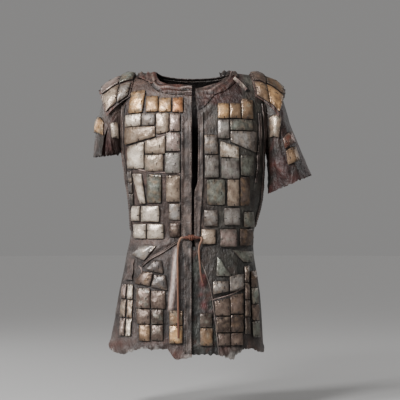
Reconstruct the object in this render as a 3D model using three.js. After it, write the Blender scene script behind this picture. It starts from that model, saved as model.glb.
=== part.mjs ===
// Leather tunic armoured with sewn-on plates. Sizes are in millimetres, +Z up, the front faces -Y.
// The origin is the middle of the shoulder line, where the wearer carries the garment.
// Right and left are the wearer's: the right side lies at -X.

import * as THREE from "three";
import { mergeVertices } from "three/addons/utils/BufferGeometryUtils.js";

// Driving sizes
const LEATHER = 2.5;
const SEAM = 0.2;
const SEAT = 1.1;
const PLATE = 2.6;
const DOME = 1.3;
const GROOVE = 0.5;
const STRAP = 2.2;
const NARROW_PLATE = 30;
const FACET_BULGE = 0.7;
const ROUND_POWER = 0.8;
const RIDGE_Y = 8;
const SHOULDER_DROP = 17;
const NECK_POINT = 116;
const UNDERARM = -240;
const CHEST = -110;
const SKIRT_TOP = -740;
const HEM = -835;
const DEG = Math.PI / 180;

// Each table has a header row of column names and one row for each level, edge point, fold or plate.
const table = (names, rows) => rows.map((row) => Object.fromEntries(names.map((name, i) => [name, row[i]])));

const SECTIONS = table(["z", "half", "front", "back", "centre"], [
  [0, 226, 0, 0, 3],
  [-6, 227, 30, 32, 3],
  [-18, 228, 57, 60, 3],
  [-38, 229, 85, 88, 3],
  [-66, 231, 107, 108, 3],
  [-110, 232, 126, 122, 3],
  [-150, 229, 136, 128, 3],
  [-200, 223, 141, 130, 3],
  [-240, 217, 142, 128, 3],
  [-300, 213, 138, 124, 5],
  [-385, 204, 128, 116, 7],
  [-440, 194, 120, 110, 4],
  [-487, 186, 115, 107, -1],
  [-550, 193, 121, 114, -7],
  [-625, 204, 129, 122, -8],
  [-710, 214, 137, 131, -11],
  [-820, 228, 147, 142, -19],
  [-870, 233, 151, 147, -22],
]);

const ARMHOLE = table(["z", "turn"], [
  [0, 56], [-40, 60], [-90, 65], [-140, 69], [-190, 74], [-222, 81], [-240, 90], [-900, 90],
]);

const NECK_RIGHT = table(["x", "z"], [[-116, 0], [-110, -22], [-96, -38], [-70, -46], [-35, -48], [0, -50]]);
const NECK_LEFT = table(["x", "z"], [[8, -60], [25, -57], [55, -49], [85, -38], [106, -20], [116, 0]]);
const NECK_BACK = table(["x", "z"], [[-116, 0], [-106, -8], [-80, -16], [0, -21], [80, -16], [106, -8], [116, 0]]);

const HEMLINE = table(["turn", "z"], [
  [-180, -836], [-150, -846], [-125, -828], [-90, -824], [-52, -845], [-33, -827], [-12, -827], [-6, -856],
  [2, -846], [21, -857], [28, -842], [50, -827], [75, -843], [105, -830], [140, -846], [180, -836],
]);

const FRONT_EDGE_LEFT = table(["z", "x"], [
  [0, 8], [-70, 9], [-130, 15], [-180, 17], [-330, 15], [-365, 5], [-500, 5], [-540, 14], [-640, 50],
  [-760, 68], [-870, 80],
]);

// Soft flutes of the worn leather: where they stand, how deep and wide, and how far they run.
const FOLDS = table(["turn", "top", "bottom", "depth", "width", "lean"], [
  [-8.5, -505, -715, 6, 6.5, -2],
  [-78, -560, -880, 5, 12, -2],
  [-108, -540, -880, 8, 12, 4],
  [-145, -520, -880, 8, 13, -5],
  [178, -540, -880, 7, 13, 4],
  [138, -520, -880, 8, 12, 5],
  [102, -560, -880, 7, 12, -4],
  [76, -560, -880, 5, 12, 0],
  [-150, -300, -480, -5, 14, 4],
  [150, -300, -480, -5, 14, -4],
]);

const PANEL_ROWS = [
  0, -6, -18, -38, -66, -110, -150, -190, -222, -240, -280, -320, -360, -400, -440, -475, -505, -540, -580,
  -620, -660, -700, -740, -787, -835,
];
const FRONT_COLUMNS = [0, 5, 10.5, 16, 21, 24, 26, 33, 42, 52, 62, 72, 81, 90];
const BACK_COLUMNS = [90, 99, 110, 122, 134, 146, 154, 160, 170, 180, 190, 200, 206, 214, 226, 238, 250, 261, 270];
const ARMHOLE_FREE = 26;
const OPENING_FREE = 52;

const PLACKET_LEVELS = [
  -79, -126, -150, -190, -240, -280, -320, -360, -400, -440, -475, -505, -540, -580, -620, -660, -700, -740,
  -787, -838,
];
const PLACKET_RIGHT = table(["z", "x"], [[-79, -23], [-122, -24], [-140, -32], [-505, -32], [-560, -24], [-860, -24]]);
const PLACKET_LEFT = table(["z", "x"], [[-124, 32], [-330, 32], [-370, 30], [-460, 23], [-510, 22]]);

// Strips over the armhole and side seams: the turn at each level
const STRIP_RIGHT = table(["z", "turn"], [
  [-94, -61], [-120, -63], [-150, -65.5], [-190, -69.5], [-240, -74], [-290, -75], [-355, -75], [-424, -76],
  [-481, -77],
]);
const STRIP_LEFT = table(["z", "turn"], [
  [-90, 60.5], [-120, 63], [-150, 65.5], [-190, 69.5], [-240, 74], [-290, 75], [-355, 75], [-424, 75], [-470, 75],
]);
const STRIP_LEFT_INNER = table(["z", "turn"], [[-122, 54], [-165, 57], [-215, 59.5], [-266, 59], [-335, 57]]);
const STRIP_TURN = 6.4;
const INNER_STRIP_TURN = 3.4;
const WAIST_EDGE = [[-151, -583], [-127, -562], [-82, -536], [-50, -514], [-37, -506]];

const COLLAR_WIDTH = 30;
const COLLAR_GATHER = 34;
const COLLAR_STAND = 5;
const COLLAR_SEAT = 1.8;
const COLLAR_PROFILE = table(["share", "thick"], [[0, 1.8], [0.22, 4.4], [0.45, 2.9], [0.72, 4.8], [1, 1.8]]);
const LAP_DEPTH = 5;

// Sleeve edges as seen from the front, at the arm's outer and inner side, from the armhole to the hem
const SLEEVE_COLUMNS = ["along", "outX", "outZ", "inX", "inZ", "depth"];
const SLEEVE_RIGHT = table(SLEEVE_COLUMNS, [
  [0, 199, -12, 216, -240, 70],
  [0.2, 250, -42, 220, -243, 75],
  [0.4, 274, -92, 223, -245, 73],
  [0.6, 288, -145, 226, -247, 68],
  [0.8, 296, -200, 228, -248, 62],
  [1, 300, -256, 229, -247, 58],
]);
const SLEEVE_LEFT = table(SLEEVE_COLUMNS, [
  [0, 205, -12, 221, -240, 70],
  [0.16, 258, -42, 225, -258, 76],
  [0.33, 277, -90, 227, -278, 80],
  [0.5, 294, -150, 228, -300, 82],
  [0.66, 318, -212, 228, -322, 84],
  [0.83, 339, -264, 227, -345, 85],
  [1, 358, -312, 226, -367, 85],
]);
const SLEEVE_WALL = 2.2;
const SLEEVE_STEPS = 7;
const ROOT_BLEND = 0.4;
const ARMHOLE_GAP = 0.6;
const CUFF_WAVE = 3;
const UNDERARM_SEAM = 0.2;
const SLIT_START = 0.3;
const SLIT_TURN = 9;
const CAP_REACH = 120;
const CAP_RISE = 18;
const CAP_SEAT = 1.6;
const CAP_PLATE_SEAT = 1.3;
const SLEEVE_PLATE_SEAT = 1.2;
const SLIT_PLATE_SEAT = 0.9;
const LEANING_PLATE = 14;

const BACK_PITCH = 64;
const BACK_PLATE = 54;
const BACK_SEATS = [2.1, 1.8, 1.2, 1.1, 1.8, 2.1];
const BACK_BANDS = table(["top", "count", "pitch", "height"], [[-64, 6, 58, 52], [-414, 2, 47, 41], [-562, 4, 61, 54]]);

// The thong ends, as routes of points
const THONG_RADIUS = 2.75;
const KNOT_LENGTH = 50;
const KNOT_RADIUS = 8;
const KNOT_CENTRE = { x: -3, y: -118.6, z: -497 };
const LACE_RIGHT = [
  [-28.4, -118.6, -497], [-32.5, -118.7, -497.2], [-38, -119.6, -505], [-42, -121, -518], [-44, -124, -545],
  [-44, -128, -575], [-43.5, -132.5, -610], [-43, -135.5, -650], [-42.5, -138.5, -690], [-42, -142, -720],
  [-41.5, -145, -755], [-41, -147, -793],
];
const LACE_LEFT = [
  [22.4, -118.6, -497], [26.2, -118.6, -497.2], [27.6, -119.4, -504.5], [23.4, -120.2, -513],
  [19.5, -119.8, -527], [20, -119.6, -550], [22.5, -122, -580], [25.5, -125, -610],
  [31, -127, -633],
];

// Reads a column of a table at any level, smoothly between the rows
function read(rows, key, column, at) {
  const up = rows[0][key] < rows[rows.length - 1][key];
  const list = up ? rows : [...rows].reverse();
  const last = list.length - 1;
  if (at <= list[0][key]) return list[0][column];
  if (at >= list[last][key]) return list[last][column];
  const i = list.findIndex((row) => row[key] > at) - 1;
  const slope = (a, b) => (list[b][column] - list[a][column]) / (list[b][key] - list[a][key]);
  const span = list[i + 1][key] - list[i][key];
  const s = (at - list[i][key]) / span;
  const a = list[i][column];
  const b = list[i + 1][column];
  const limit = 3 * Math.abs(b - a);
  const start = clamp(slope(Math.max(i - 1, 0), i + 1) * span, -limit, limit);
  const end = clamp(slope(i, Math.min(i + 2, last)) * span, -limit, limit);
  return (
    (2 * s ** 3 - 3 * s ** 2 + 1) * a + (s ** 3 - 2 * s ** 2 + s) * start +
    (3 * s ** 2 - 2 * s ** 3) * b + (s ** 3 - s ** 2) * end
  );
}

const mix = (a, b, s) => a + (b - a) * s;
const clamp = (value, low, high) => Math.min(Math.max(value, low), high);
const smooth = (s) => clamp(s, 0, 1) ** 2 * (3 - 2 * clamp(s, 0, 1));
const rounded = (value) => Math.sign(value) * Math.abs(value) ** ROUND_POWER;
const steps = (count, make) => Array.from({ length: count + 1 }, (_, i) => make(i / count, i));

function foldDepth(turn, height) {
  let depth = 0;
  for (const fold of FOLDS) {
    if (height > fold.top || height < fold.bottom) continue;
    const run = (fold.top - height) / (fold.top - fold.bottom);
    const away = ((turn - fold.turn - fold.lean * run + 540) % 360) - 180;
    const fade = smooth(run * 2.5) * smooth((1 - run) * 6 + (fold.bottom < HEM ? 1 : 0));
    depth += fold.depth * fade * Math.exp(-((away / fold.width) ** 2));
  }
  return depth;
}

// The worn surface: turn in degrees, 0 at the centre front, 90 at the left side; height as a level label
function body(turn, height) {
  const half = read(SECTIONS, "z", "half", height);
  const centre = read(SECTIONS, "z", "centre", height);
  const across = Math.sin(turn * DEG);
  const along = Math.cos(turn * DEG);
  const depth = Math.max(read(SECTIONS, "z", along > 0 ? "front" : "back", height), 0);
  const fold = foldDepth(turn, height);
  const out = Math.max(Math.abs(half * rounded(across)) - NECK_POINT, 0) / (half - NECK_POINT);
  const drop = SHOULDER_DROP * out ** 1.5 * smooth((height - UNDERARM) / -UNDERARM);
  return new THREE.Vector3(
    centre + half * rounded(across) + fold * across,
    RIDGE_Y - depth * rounded(along) - fold * along,
    height - drop,
  );
}

function bodyNormal(turn, height) {
  const step = 0.4;
  const high = Math.min(height + step, 0);
  const around = body(turn + step, height).sub(body(turn - step, height));
  const rise = body(turn, high).sub(body(turn, height - step));
  const normal = around.cross(rise).normalize();
  const onSeam = height > -0.01 || Math.abs(Math.abs(turn) - 90) < 0.01 || Math.abs(turn - 270) < 0.01;
  if (onSeam) normal.setY(0).normalize();
  return normal;
}

// The turn at which the surface passes a sideways place x, in front or at the back
function turnAt(x, height, back = false) {
  const half = read(SECTIONS, "z", "half", height);
  const centre = read(SECTIONS, "z", "centre", height);
  const share = clamp((x - centre) / half, -1, 1);
  const turn = Math.asin(Math.sign(share) * Math.abs(share) ** (1 / ROUND_POWER)) / DEG;
  return back ? 180 - turn : turn;
}

// A surface to lay pieces on: a point and its normal for two coordinates
const frontSurface = { point: (x, z) => body(turnAt(x, z), z), normal: (x, z) => bodyNormal(turnAt(x, z), z) };
const backSurface = {
  point: (x, z) => body(turnAt(x, z, true), z),
  normal: (x, z) => bodyNormal(turnAt(x, z, true), z),
};

const COLOURS = {
  leather: { color: 0x4b3d3a, roughness: 0.7, metalness: 0 },
  redLeather: { color: 0x5a302a, roughness: 0.7, metalness: 0 },
  greyLeather: { color: 0x5d5656, roughness: 0.65, metalness: 0 },
  plate: { color: 0x8a8070, roughness: 0.45, metalness: 0.3 },
  goldPlate: { color: 0xa8804c, roughness: 0.45, metalness: 0.4 },
  thong: { color: 0x8a4a30, roughness: 0.8, metalness: 0 },
};

const tunic = new THREE.Group();
tunic.name = "lamellar_armour";

function addMesh(name, geometry, finish) {
  const plain = geometry.clone();
  plain.deleteAttribute("normal");
  plain.deleteAttribute("uv");
  const solid = mergeVertices(plain, 1e-4);
  const mesh = new THREE.Mesh(solid, new THREE.MeshStandardMaterial(COLOURS[finish]));
  mesh.name = name;
  tunic.add(mesh);
  return mesh;
}

// A closed solid between an outer and an inner grid of points, joined end to end where it wraps round
function wallGeometry(outer, inner, wraps = false) {
  const rows = outer.length;
  const columns = outer[0].length;
  const points = [...outer.flat(), ...inner.flat()];
  const at = (layer, i, j) => layer * rows * columns + i * columns + (j % columns);
  const index = [];
  const quad = (a, b, c, d) => index.push(a, b, c, a, c, d);
  const spans = wraps ? columns : columns - 1;
  for (let i = 0; i < rows - 1; i += 1) {
    for (let j = 0; j < spans; j += 1) {
      quad(at(0, i, j), at(0, i + 1, j), at(0, i + 1, j + 1), at(0, i, j + 1));
      quad(at(1, i, j + 1), at(1, i + 1, j + 1), at(1, i + 1, j), at(1, i, j));
    }
  }
  for (let j = 0; j < spans; j += 1) {
    quad(at(0, 0, j), at(0, 0, j + 1), at(1, 0, j + 1), at(1, 0, j));
    quad(at(1, rows - 1, j), at(1, rows - 1, j + 1), at(0, rows - 1, j + 1), at(0, rows - 1, j));
  }
  for (let i = 0; !wraps && i < rows - 1; i += 1) {
    const last = columns - 1;
    quad(at(1, i, 0), at(1, i + 1, 0), at(0, i + 1, 0), at(0, i, 0));
    quad(at(0, i, last), at(0, i + 1, last), at(1, i + 1, last), at(1, i, last));
  }
  const volume = (a, b, c) => points[a].dot(points[b].clone().cross(points[c]));
  let sum = 0;
  for (let k = 0; k < index.length; k += 3) sum += volume(index[k], index[k + 1], index[k + 2]);
  if (sum < 0) index.reverse();
  const geometry = new THREE.BufferGeometry();
  geometry.setAttribute("position", new THREE.Float32BufferAttribute(points.flatMap((p) => p.toArray()), 3));
  geometry.setIndex(index);
  return geometry;
}

const moved = (point, normal, distance) => point.clone().addScaledVector(normal, distance);

// A cut panel of the body: a grid of turns and heights, with its wall inside the worn surface
function addPanel(name, grid, shiftY, finish) {
  const outer = grid.map((row) => row.map(([turn, height]) => body(turn, height)));
  const inner = grid.map((row, i) => row.map(([turn, height], j) =>
    moved(outer[i][j], bodyNormal(turn, height), -LEATHER)));
  const geometry = wallGeometry(outer, inner);
  geometry.translate(0, shiftY, 0);
  return addMesh(name, geometry, finish);
}

// The height of a panel's point: the top rows follow the neck edge and the lowest follow the hem
function panelHeight(label, turn, neck) {
  const x = body(turn, CHEST).x;
  const top = Math.abs(x) < NECK_POINT ? read(neck, "x", "z", x) : 0;
  const hem = read(HEMLINE, "turn", "z", turn > 180 ? turn - 360 : turn);
  if (label > CHEST) return CHEST + (label - CHEST) * (top - CHEST) / -CHEST;
  if (label < SKIRT_TOP) return SKIRT_TOP + (label - SKIRT_TOP) * (hem - SKIRT_TOP) / (HEM - SKIRT_TOP);
  return label;
}

function panelTurn(base, height) {
  const edge = read(ARMHOLE, "z", "turn", height);
  if (base <= ARMHOLE_FREE) return base;
  return ARMHOLE_FREE + (base - ARMHOLE_FREE) * (edge - ARMHOLE_FREE) / (90 - ARMHOLE_FREE);
}

function frontGrid(side, neck, edgeAt) {
  return PANEL_ROWS.map((label) => FRONT_COLUMNS.map((base) => {
    const level = panelHeight(label, side * base, neck);
    const start = side * turnAt(edgeAt(level), level);
    const opened = base < OPENING_FREE ? start + base * (OPENING_FREE - start) / OPENING_FREE : base;
    const turn = side * panelTurn(opened, label);
    return [turn, panelHeight(label, side * Math.max(base, 0.3), neck)];
  }));
}

function backGrid() {
  return PANEL_ROWS.map((label) => BACK_COLUMNS.map((base) => {
    const fromBack = Math.abs(base - 180);
    const turn = 180 + Math.sign(base - 180) * panelTurn(fromBack, label);
    return [turn, panelHeight(label, base, NECK_BACK)];
  }));
}

// A piece laid on a surface: a grid of surface coordinates with an under and an over distance
function addLaid(name, surface, grid, finish) {
  const side = (key) => grid.map((row) => row.map((cell) =>
    moved(surface.point(cell.u, cell.v), surface.normal(cell.u, cell.v), cell[key])));
  return addMesh(name, wallGeometry(side("over"), side("under")), finish);
}

// A strip of leather along a path on a surface, with its width across the path
function addStrip(name, surface, path, width, finish, lift = SEAT, thick = STRAP) {
  const curve = new THREE.CatmullRomCurve3(path.map(([u, v]) => new THREE.Vector3(u, v, 0)));
  const count = Math.max(Math.round(curve.getLength() / 22), 4);
  const grid = steps(count, (s) => {
    const centre = curve.getPointAt(s);
    const across = curve.getTangentAt(s);
    return [-0.5, 0.5].map((place) => ({
      u: centre.x - across.y * width * place,
      v: Math.min(centre.y + across.x * width * place, -0.5),
      under: lift,
      over: lift + thick,
    }));
  });
  return addLaid(name, surface, grid, finish);
}

// How far a surface rises over a straight line between two of its points
function bulge(surface, from, to) {
  const line = surface.point(...from).add(surface.point(...to)).multiplyScalar(0.5);
  return surface.point((from[0] + to[0]) / 2, (from[1] + to[1]) / 2).distanceTo(line);
}

const PLATE_COLUMNS = ["left", "right", "top", "bottom", "lean", "tiltTop", "tiltBottom", "flare"];

// A line of plates sewn one below another, joined at their roots in the grooves between them
function addPlates(name, surface, rows, finish, lift = SEAT) {
  const plates = table(PLATE_COLUMNS, rows);
  const edges = [];
  plates.forEach((plate, i) => {
    const lean = plate.lean ?? 0;
    const tiltTop = plate.tiltTop ?? 0;
    const tiltBottom = plate.tiltBottom ?? 0;
    const flare = plate.flare ?? 0;
    const top = { left: plate.left, right: plate.right, z: plate.top, tilt: tiltTop, raised: true };
    const bottom = {
      left: plate.left + lean - flare, right: plate.right + lean + flare,
      z: plate.bottom, tilt: tiltBottom, raised: true,
    };
    const before = edges[edges.length - 1];
    if (before) {
      edges.push({
        left: Math.max(before.left, top.left) + 1,
        right: Math.min(before.right, top.right) - 1,
        z: (before.z + top.z) / 2, tilt: (before.tilt + top.tilt) / 2, raised: false,
      });
    }
    edges.push(top);
    const middle = (top.left + top.right) / 2;
    const round = bulge(surface, [middle, top.z], [middle, bottom.z]) > FACET_BULGE;
    if (round || Math.abs(lean) >= LEANING_PLATE) {
      edges.push({
        left: (top.left + bottom.left) / 2, right: (top.right + bottom.right) / 2,
        z: (top.z + bottom.z) / 2, tilt: (top.tilt + bottom.tilt) / 2, raised: true,
      });
    }
    edges.push(bottom);
  });
  const roundest = Math.max(...edges.map((edge) => bulge(surface, [edge.left, edge.z], [edge.right, edge.z])));
  const widest = Math.max(...plates.map((plate) => plate.right - plate.left));
  const spans = clamp(Math.ceil(Math.sqrt(roundest / FACET_BULGE)), widest > NARROW_PLATE ? 2 : 1, 5);
  const grid = edges.map((edge) => steps(spans, (s) => {
    const crown = DOME * (1 - (2 * s - 1) ** 2);
    return {
      u: mix(edge.left, edge.right, s),
      v: edge.z + edge.tilt * (s - 0.5),
      under: lift,
      over: lift + (edge.raised ? PLATE + crown : GROOVE),
    };
  }));
  return addLaid(name, surface, grid, finish);
}

addPanel("front_right", frontGrid(-1, NECK_RIGHT, () => -1), -SEAM, "leather");
addPanel("front_left", frontGrid(1, NECK_LEFT, (z) => read(FRONT_EDGE_LEFT, "z", "x", z)), -SEAM, "leather");
addPanel("back", backGrid(), SEAM, "leather");

// The inner skirt panel behind the left front's open edge
function addUnderlap() {
  const levels = [-524, -552, -590, -630, -670, -710, -750, -800, -846];
  const grid = levels.map((z) => [5, 28, 50, 74, 98].map((x) => {
    const behind = LEATHER + mix(0.5, LAP_DEPTH, smooth((-530 - z) / 100));
    return { u: x, v: z, over: -behind, under: -behind - LEATHER };
  }));
  addLaid("underlap_left", frontSurface, grid, "redLeather");
}

// A soft neck band along the neck edge, with long wrinkles
function addCollar(name, surface, neck, widthAt) {
  const curve = new THREE.CatmullRomCurve3(neck.map((row) => new THREE.Vector3(row.x, row.z, 0)));
  const grid = steps(14, (s) => {
    const edge = curve.getPointAt(mix(0.01, 0.99, s));
    const away = curve.getTangentAt(mix(0.01, 0.99, s));
    return COLLAR_PROFILE.map((row) => {
      const reach = row.share * widthAt(s) - COLLAR_STAND;
      return {
        u: edge.x + away.y * reach,
        v: Math.min(edge.y - away.x * reach, -0.4),
        under: COLLAR_SEAT,
        over: COLLAR_SEAT + row.thick,
      };
    });
  });
  addLaid(name, surface, grid, "redLeather");
}

// A band along a front edge
function addPlacket(name, levels, leftAt, rightAt) {
  const grid = levels.map((z) => [leftAt(z), rightAt(z)].map((x) => (
    { u: x, v: z, under: SEAT, over: SEAT + STRAP })));
  addLaid(name, frontSurface, grid, "greyLeather");
}

// A strip down the body, as wide as some degrees of turn
function addSeamStrip(name, rows, width) {
  const turned = { point: body, normal: bodyNormal };
  const top = rows[0].z;
  const bottom = rows[rows.length - 1].z;
  const grid = steps(Math.round((top - bottom) / 26), (s) => {
    const z = mix(top, bottom, s);
    const centre = read(rows, "z", "turn", z);
    return steps(2, (t) => ({ u: centre + (t - 0.5) * width, v: z, under: SEAT, over: SEAT + STRAP }));
  });
  addLaid(name, turned, grid, "greyLeather");
}

// A small loose flap at the right hip that lifts toward its outer end
function addFlap() {
  const grid = [-562, -584, -606, -624].map((z, i) => [-190, -181, -172].map((x) => (
    { u: x - 2 * i, v: z, under: SEAT + i * 1.2, over: SEAT + STRAP + i * 1.2 })));
  addLaid("flap_right", frontSurface, grid, "leather");
}

addUnderlap();
addCollar("collar_right", frontSurface, NECK_RIGHT, () => COLLAR_WIDTH);
addCollar("collar_left", frontSurface, NECK_LEFT, (s) => COLLAR_WIDTH + COLLAR_GATHER * smooth(1 - 2.2 * s));
addCollar("collar_back", backSurface, NECK_BACK, () => COLLAR_WIDTH);
addPlacket("placket_right", PLACKET_LEVELS, (z) => read(PLACKET_RIGHT, "z", "x", z), () => -2);
addPlacket("placket_left", PLACKET_LEVELS.filter((z) => z < -124 && z > -510),
  (z) => read(FRONT_EDGE_LEFT, "z", "x", z) + 1, (z) => read(PLACKET_LEFT, "z", "x", z));
addSeamStrip("strip_right", STRIP_RIGHT, STRIP_TURN);
addSeamStrip("strip_left", STRIP_LEFT, STRIP_TURN);
addSeamStrip("strip_left_inner", STRIP_LEFT_INNER, INNER_STRIP_TURN);
addStrip("waist_edge_right", frontSurface, WAIST_EDGE, 7, "greyLeather");
addFlap();

// The sleeve: around is 0 over the shoulder, 90 in front, 180 at the underarm; along runs to the hem
function armholePoint(side, around) {
  const height = UNDERARM * (1 - Math.cos(around * DEG)) / 2;
  const edge = read(ARMHOLE, "z", "turn", height);
  const front = Math.sin(around * DEG) > 0;
  const turn = side * (front ? edge : 180 - edge);
  return { point: body(turn, height), normal: bodyNormal(turn, height) };
}

function sleevePoint(side, rows, around, along) {
  const at = (column) => read(rows, "along", column, along);
  const ring = (outX, outZ, inX, inZ, depth) => new THREE.Vector3(
    side * mix((outX + inX) / 2, outX, Math.cos(around * DEG)),
    RIDGE_Y - depth * Math.sin(around * DEG),
    mix((outZ + inZ) / 2, outZ, Math.cos(around * DEG)),
  );
  const point = ring(at("outX"), at("outZ"), at("inX"), at("inZ"), at("depth"));
  const root = rows[0];
  const start = ring(root.outX, root.outZ, root.inX, root.inZ, root.depth);
  const hold = clamp(1 - along / ROOT_BLEND, 0, 1) ** 2;
  const wave = CUFF_WAVE * smooth((along - 0.5) * 2) * Math.sin(around * DEG * 5 + side);
  const centre = new THREE.Vector3(side * (at("outX") + at("inX")) / 2, RIDGE_Y, (at("outZ") + at("inZ")) / 2);
  point.addScaledVector(point.clone().sub(centre).normalize(), wave);
  point.addScaledVector(armholePoint(side, around).point.sub(start), hold);
  return point.add(new THREE.Vector3(side * ARMHOLE_GAP, 0, 0));
}

function sleeveSurface(side, rows) {
  const point = (around, along) => sleevePoint(side, rows, around, along);
  const normal = (around, along) => {
    const turned = point(around + 1, along).sub(point(around - 1, along));
    const run = point(around, Math.min(along + 0.01, 1)).sub(point(around, Math.max(along - 0.01, 0)));
    const out = turned.cross(run).multiplyScalar(side).normalize();
    if (along < 0.001) out.setX(0);
    if (Math.abs(around - 180) < 1) out.setY(0);
    return out.normalize();
  };
  return { point, normal };
}

const ARMHOLE_LEVELS = PANEL_ROWS.filter((label) => label >= UNDERARM);
const AROUND_FRONT = ARMHOLE_LEVELS.map((label) => Math.acos(1 - 2 * label / UNDERARM) / DEG);
const AROUND_ALL = [...AROUND_FRONT, ...AROUND_FRONT.slice(1, -1).reverse().map((around) => 360 - around)];

function addSleeve(name, side, rows, arounds, shiftY = 0) {
  const surface = sleeveSurface(side, rows);
  const grid = (distance) => steps(SLEEVE_STEPS, (along) => arounds(along).map((around) =>
    moved(surface.point(around, along), surface.normal(around, along), distance)));
  const geometry = wallGeometry(grid(0), grid(-SLEEVE_WALL), shiftY === 0);
  geometry.translate(0, shiftY, 0);
  addMesh(name, geometry, "leather");
}

// The right sleeve is slit in front, so it has two pieces that meet along the underarm seam
const slitHalf = (along) => mix(0.3, SLIT_TURN, smooth((along - SLIT_START) / (1 - SLIT_START)));
const slitAt = AROUND_FRONT[6];
const frontArounds = (along) => [slitAt + slitHalf(along), ...AROUND_FRONT.slice(7, -1), 180 - UNDERARM_SEAM];
const backArounds = (along) => [
  180 + UNDERARM_SEAM, ...AROUND_ALL.slice(10), 360, ...AROUND_FRONT.slice(1, 6).map((around) => 360 + around),
  360 + slitAt - slitHalf(along),
];
addSleeve("sleeve_right_front", -1, SLEEVE_RIGHT, frontArounds, -SEAM);
addSleeve("sleeve_right_back", -1, SLEEVE_RIGHT, backArounds, SEAM);
addSleeve("sleeve_left", 1, SLEEVE_LEFT, () => AROUND_ALL);

// The shoulder cap: u runs from -100 at the front corner to 100 at the back one, v from 0 to -CAP_REACH
function capSurface(side) {
  const point = (u, v) => {
    const place = u / 100;
    const far = Math.abs(place);
    const reach = -v / CAP_REACH;
    const rootZ = -0.5 - 70 * far ** 1.5;
    const rootTurn = turnAt(side * (170 + 16 * far), rootZ, place > 0);
    const root = moved(body(rootTurn, rootZ), bodyNormal(rootTurn, rootZ), CAP_SEAT + SLEEVE_WALL);
    const seam = armholePoint(side, place > 0 ? 360 - 80 * far : 80 * far + 0.01);
    const middle = moved(seam.point, seam.normal, mix(CAP_RISE, 1.6 * CAP_RISE, far));
    const tip = new THREE.Vector3(side * (282 - 26 * far ** 2), RIDGE_Y + 90 * place, -50 - 86 * far ** 1.6);
    return root.multiplyScalar((1 - reach) ** 2)
      .addScaledVector(middle, 2 * reach * (1 - reach))
      .addScaledVector(tip, reach ** 2);
  };
  const normal = (u, v) => {
    const across = point(u + 1, v).sub(point(u - 1, v));
    const run = point(u, v - 1).sub(point(u, v + 1));
    return across.cross(run).multiplyScalar(-side).normalize();
  };
  return { point, normal };
}

function addCap(name, side) {
  const grid = steps(5, (s) => steps(12, (t) => (
    { u: mix(-100, 100, t), v: -CAP_REACH * s, over: 0, under: -SLEEVE_WALL })));
  addLaid(name, capSurface(side), grid, "leather");
}
addCap("cap_right", -1);
addCap("cap_left", 1);

// Plates of the right front
addPlates("plates_front_right_a", frontSurface, [
  [-181, -140, -58, -123, -8],
  [-197, -152, -129, -163],
  [-198, -110, -168, -208, 0, 0, 22],
  [-190, -143, -220, -290, 0, 12, 0],
  [-176, -150, -308, -394, 18, 0, 0, -5],
  [-178, -155, -404, -446],
  [-171, -137, -458, -500],
], "goldPlate", 2 * SEAT);
addPlates("plates_front_right_b_top", frontSurface, [
  [-136, -102, -78, -123],
  [-148, -111, -128, -163],
], "goldPlate");
addPlates("plates_front_right_b", frontSurface, [
  [-139, -80, -204, -247, 0, 15, 0],
  [-139, -86, -252, -298],
  [-133, -92, -310, -392],
  [-151, -98, -404, -448],
  [-133, -85, -458, -500],
], "plate");
addPlates("plates_front_right_c", frontSurface, [
  [-98, -64, -84, -124],
  [-106, -70, -129, -186, 0, 0, 8],
], "goldPlate");
addPlates("plates_front_right_d", frontSurface, [
  [-57, -28, -84, -126],
  [-66, -37, -131, -181],
  [-76, -37, -187, -239],
  [-79, -37, -248, -304],
  [-76, -37, -314, -389],
  [-69, -37, -398, -443],
  [-67, -37, -455, -494],
], "plate");
addPlates("plates_side_right", frontSurface, [
  [-191, -180, -300, -330, 1],
  [-189, -178, -334, -364, 1],
  [-186, -176, -368, -398, 2],
], "plate");

// Plates of the right skirt
addPlates("plates_hip_right", frontSurface, [[-148, -106, -522, -557, -33, -2, -16, -4]], "plate", 2 * SEAT);
addPlates("plates_skirt_right_a", frontSurface, [
  [-149, -117, -601, -637, -14.5, -6, -6, 6.5],
  [-165, -125, -649, -706],
  [-163, -125, -711, -752],
  [-157, -125, -757, -802],
], "plate");
addPlates("plates_skirt_right_b", frontSurface, [
  [-118, -90, -566.5, -598.5, -6, 1, -11, 10],
  [-112, -78, -609, -648, -2, 0, -8, 6],
  [-121, -79, -656, -706],
  [-120, -87, -711, -752],
  [-120, -87, -757, -800],
], "plate");
addPlates("plates_skirt_right_c", frontSurface, [
  [-190, -177, -640, -680, -1],
  [-191, -178, -685, -735, -2],
  [-194, -181, -740, -790, -2],
], "plate");
addPlates("plates_skirt_right_d", frontSurface, [
  [-206, -195, -640, -680, -2],
  [-208, -196, -685, -735, -3],
  [-211, -199, -740, -790, -3],
], "plate");
addPlates("plates_vent_right", frontSurface, [
  [-67, -30, -714, -754],
  [-67, -30, -759, -808],
], "goldPlate", 2 * SEAT);

// Plates of the left front
addPlates("plates_front_left_a", frontSurface, [
  [36, 74, -194, -248],
  [38, 77, -254, -317],
  [44, 95, -326, -398],
  [35, 74, -416, -461],
  [27, 68, -473, -516],
], "plate");
addPlates("plates_front_left_b", frontSurface, [
  [76, 108, -100, -143],
  [76, 108, -149, -202],
  [83, 136, -221, -258, 0, -16, -4],
  [86, 137, -263, -320],
  [104, 137, -326, -401],
  [95, 140, -410, -458],
  [83, 131, -473, -524],
], "plate");
addPlates("plates_front_left_c", frontSurface, [
  [112, 142, -100, -142],
  [113, 176, -147, -177],
  [113, 188, -182, -228, 0, 0, -30],
  [143, 179, -254, -311],
  [142, 168, -318, -401],
  [152, 182, -422, -464],
  [141, 178, -472, -521],
], "plate");
addPlates("plates_front_left_d", frontSurface, [[146, 178, -85, -142]], "plate");

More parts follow.
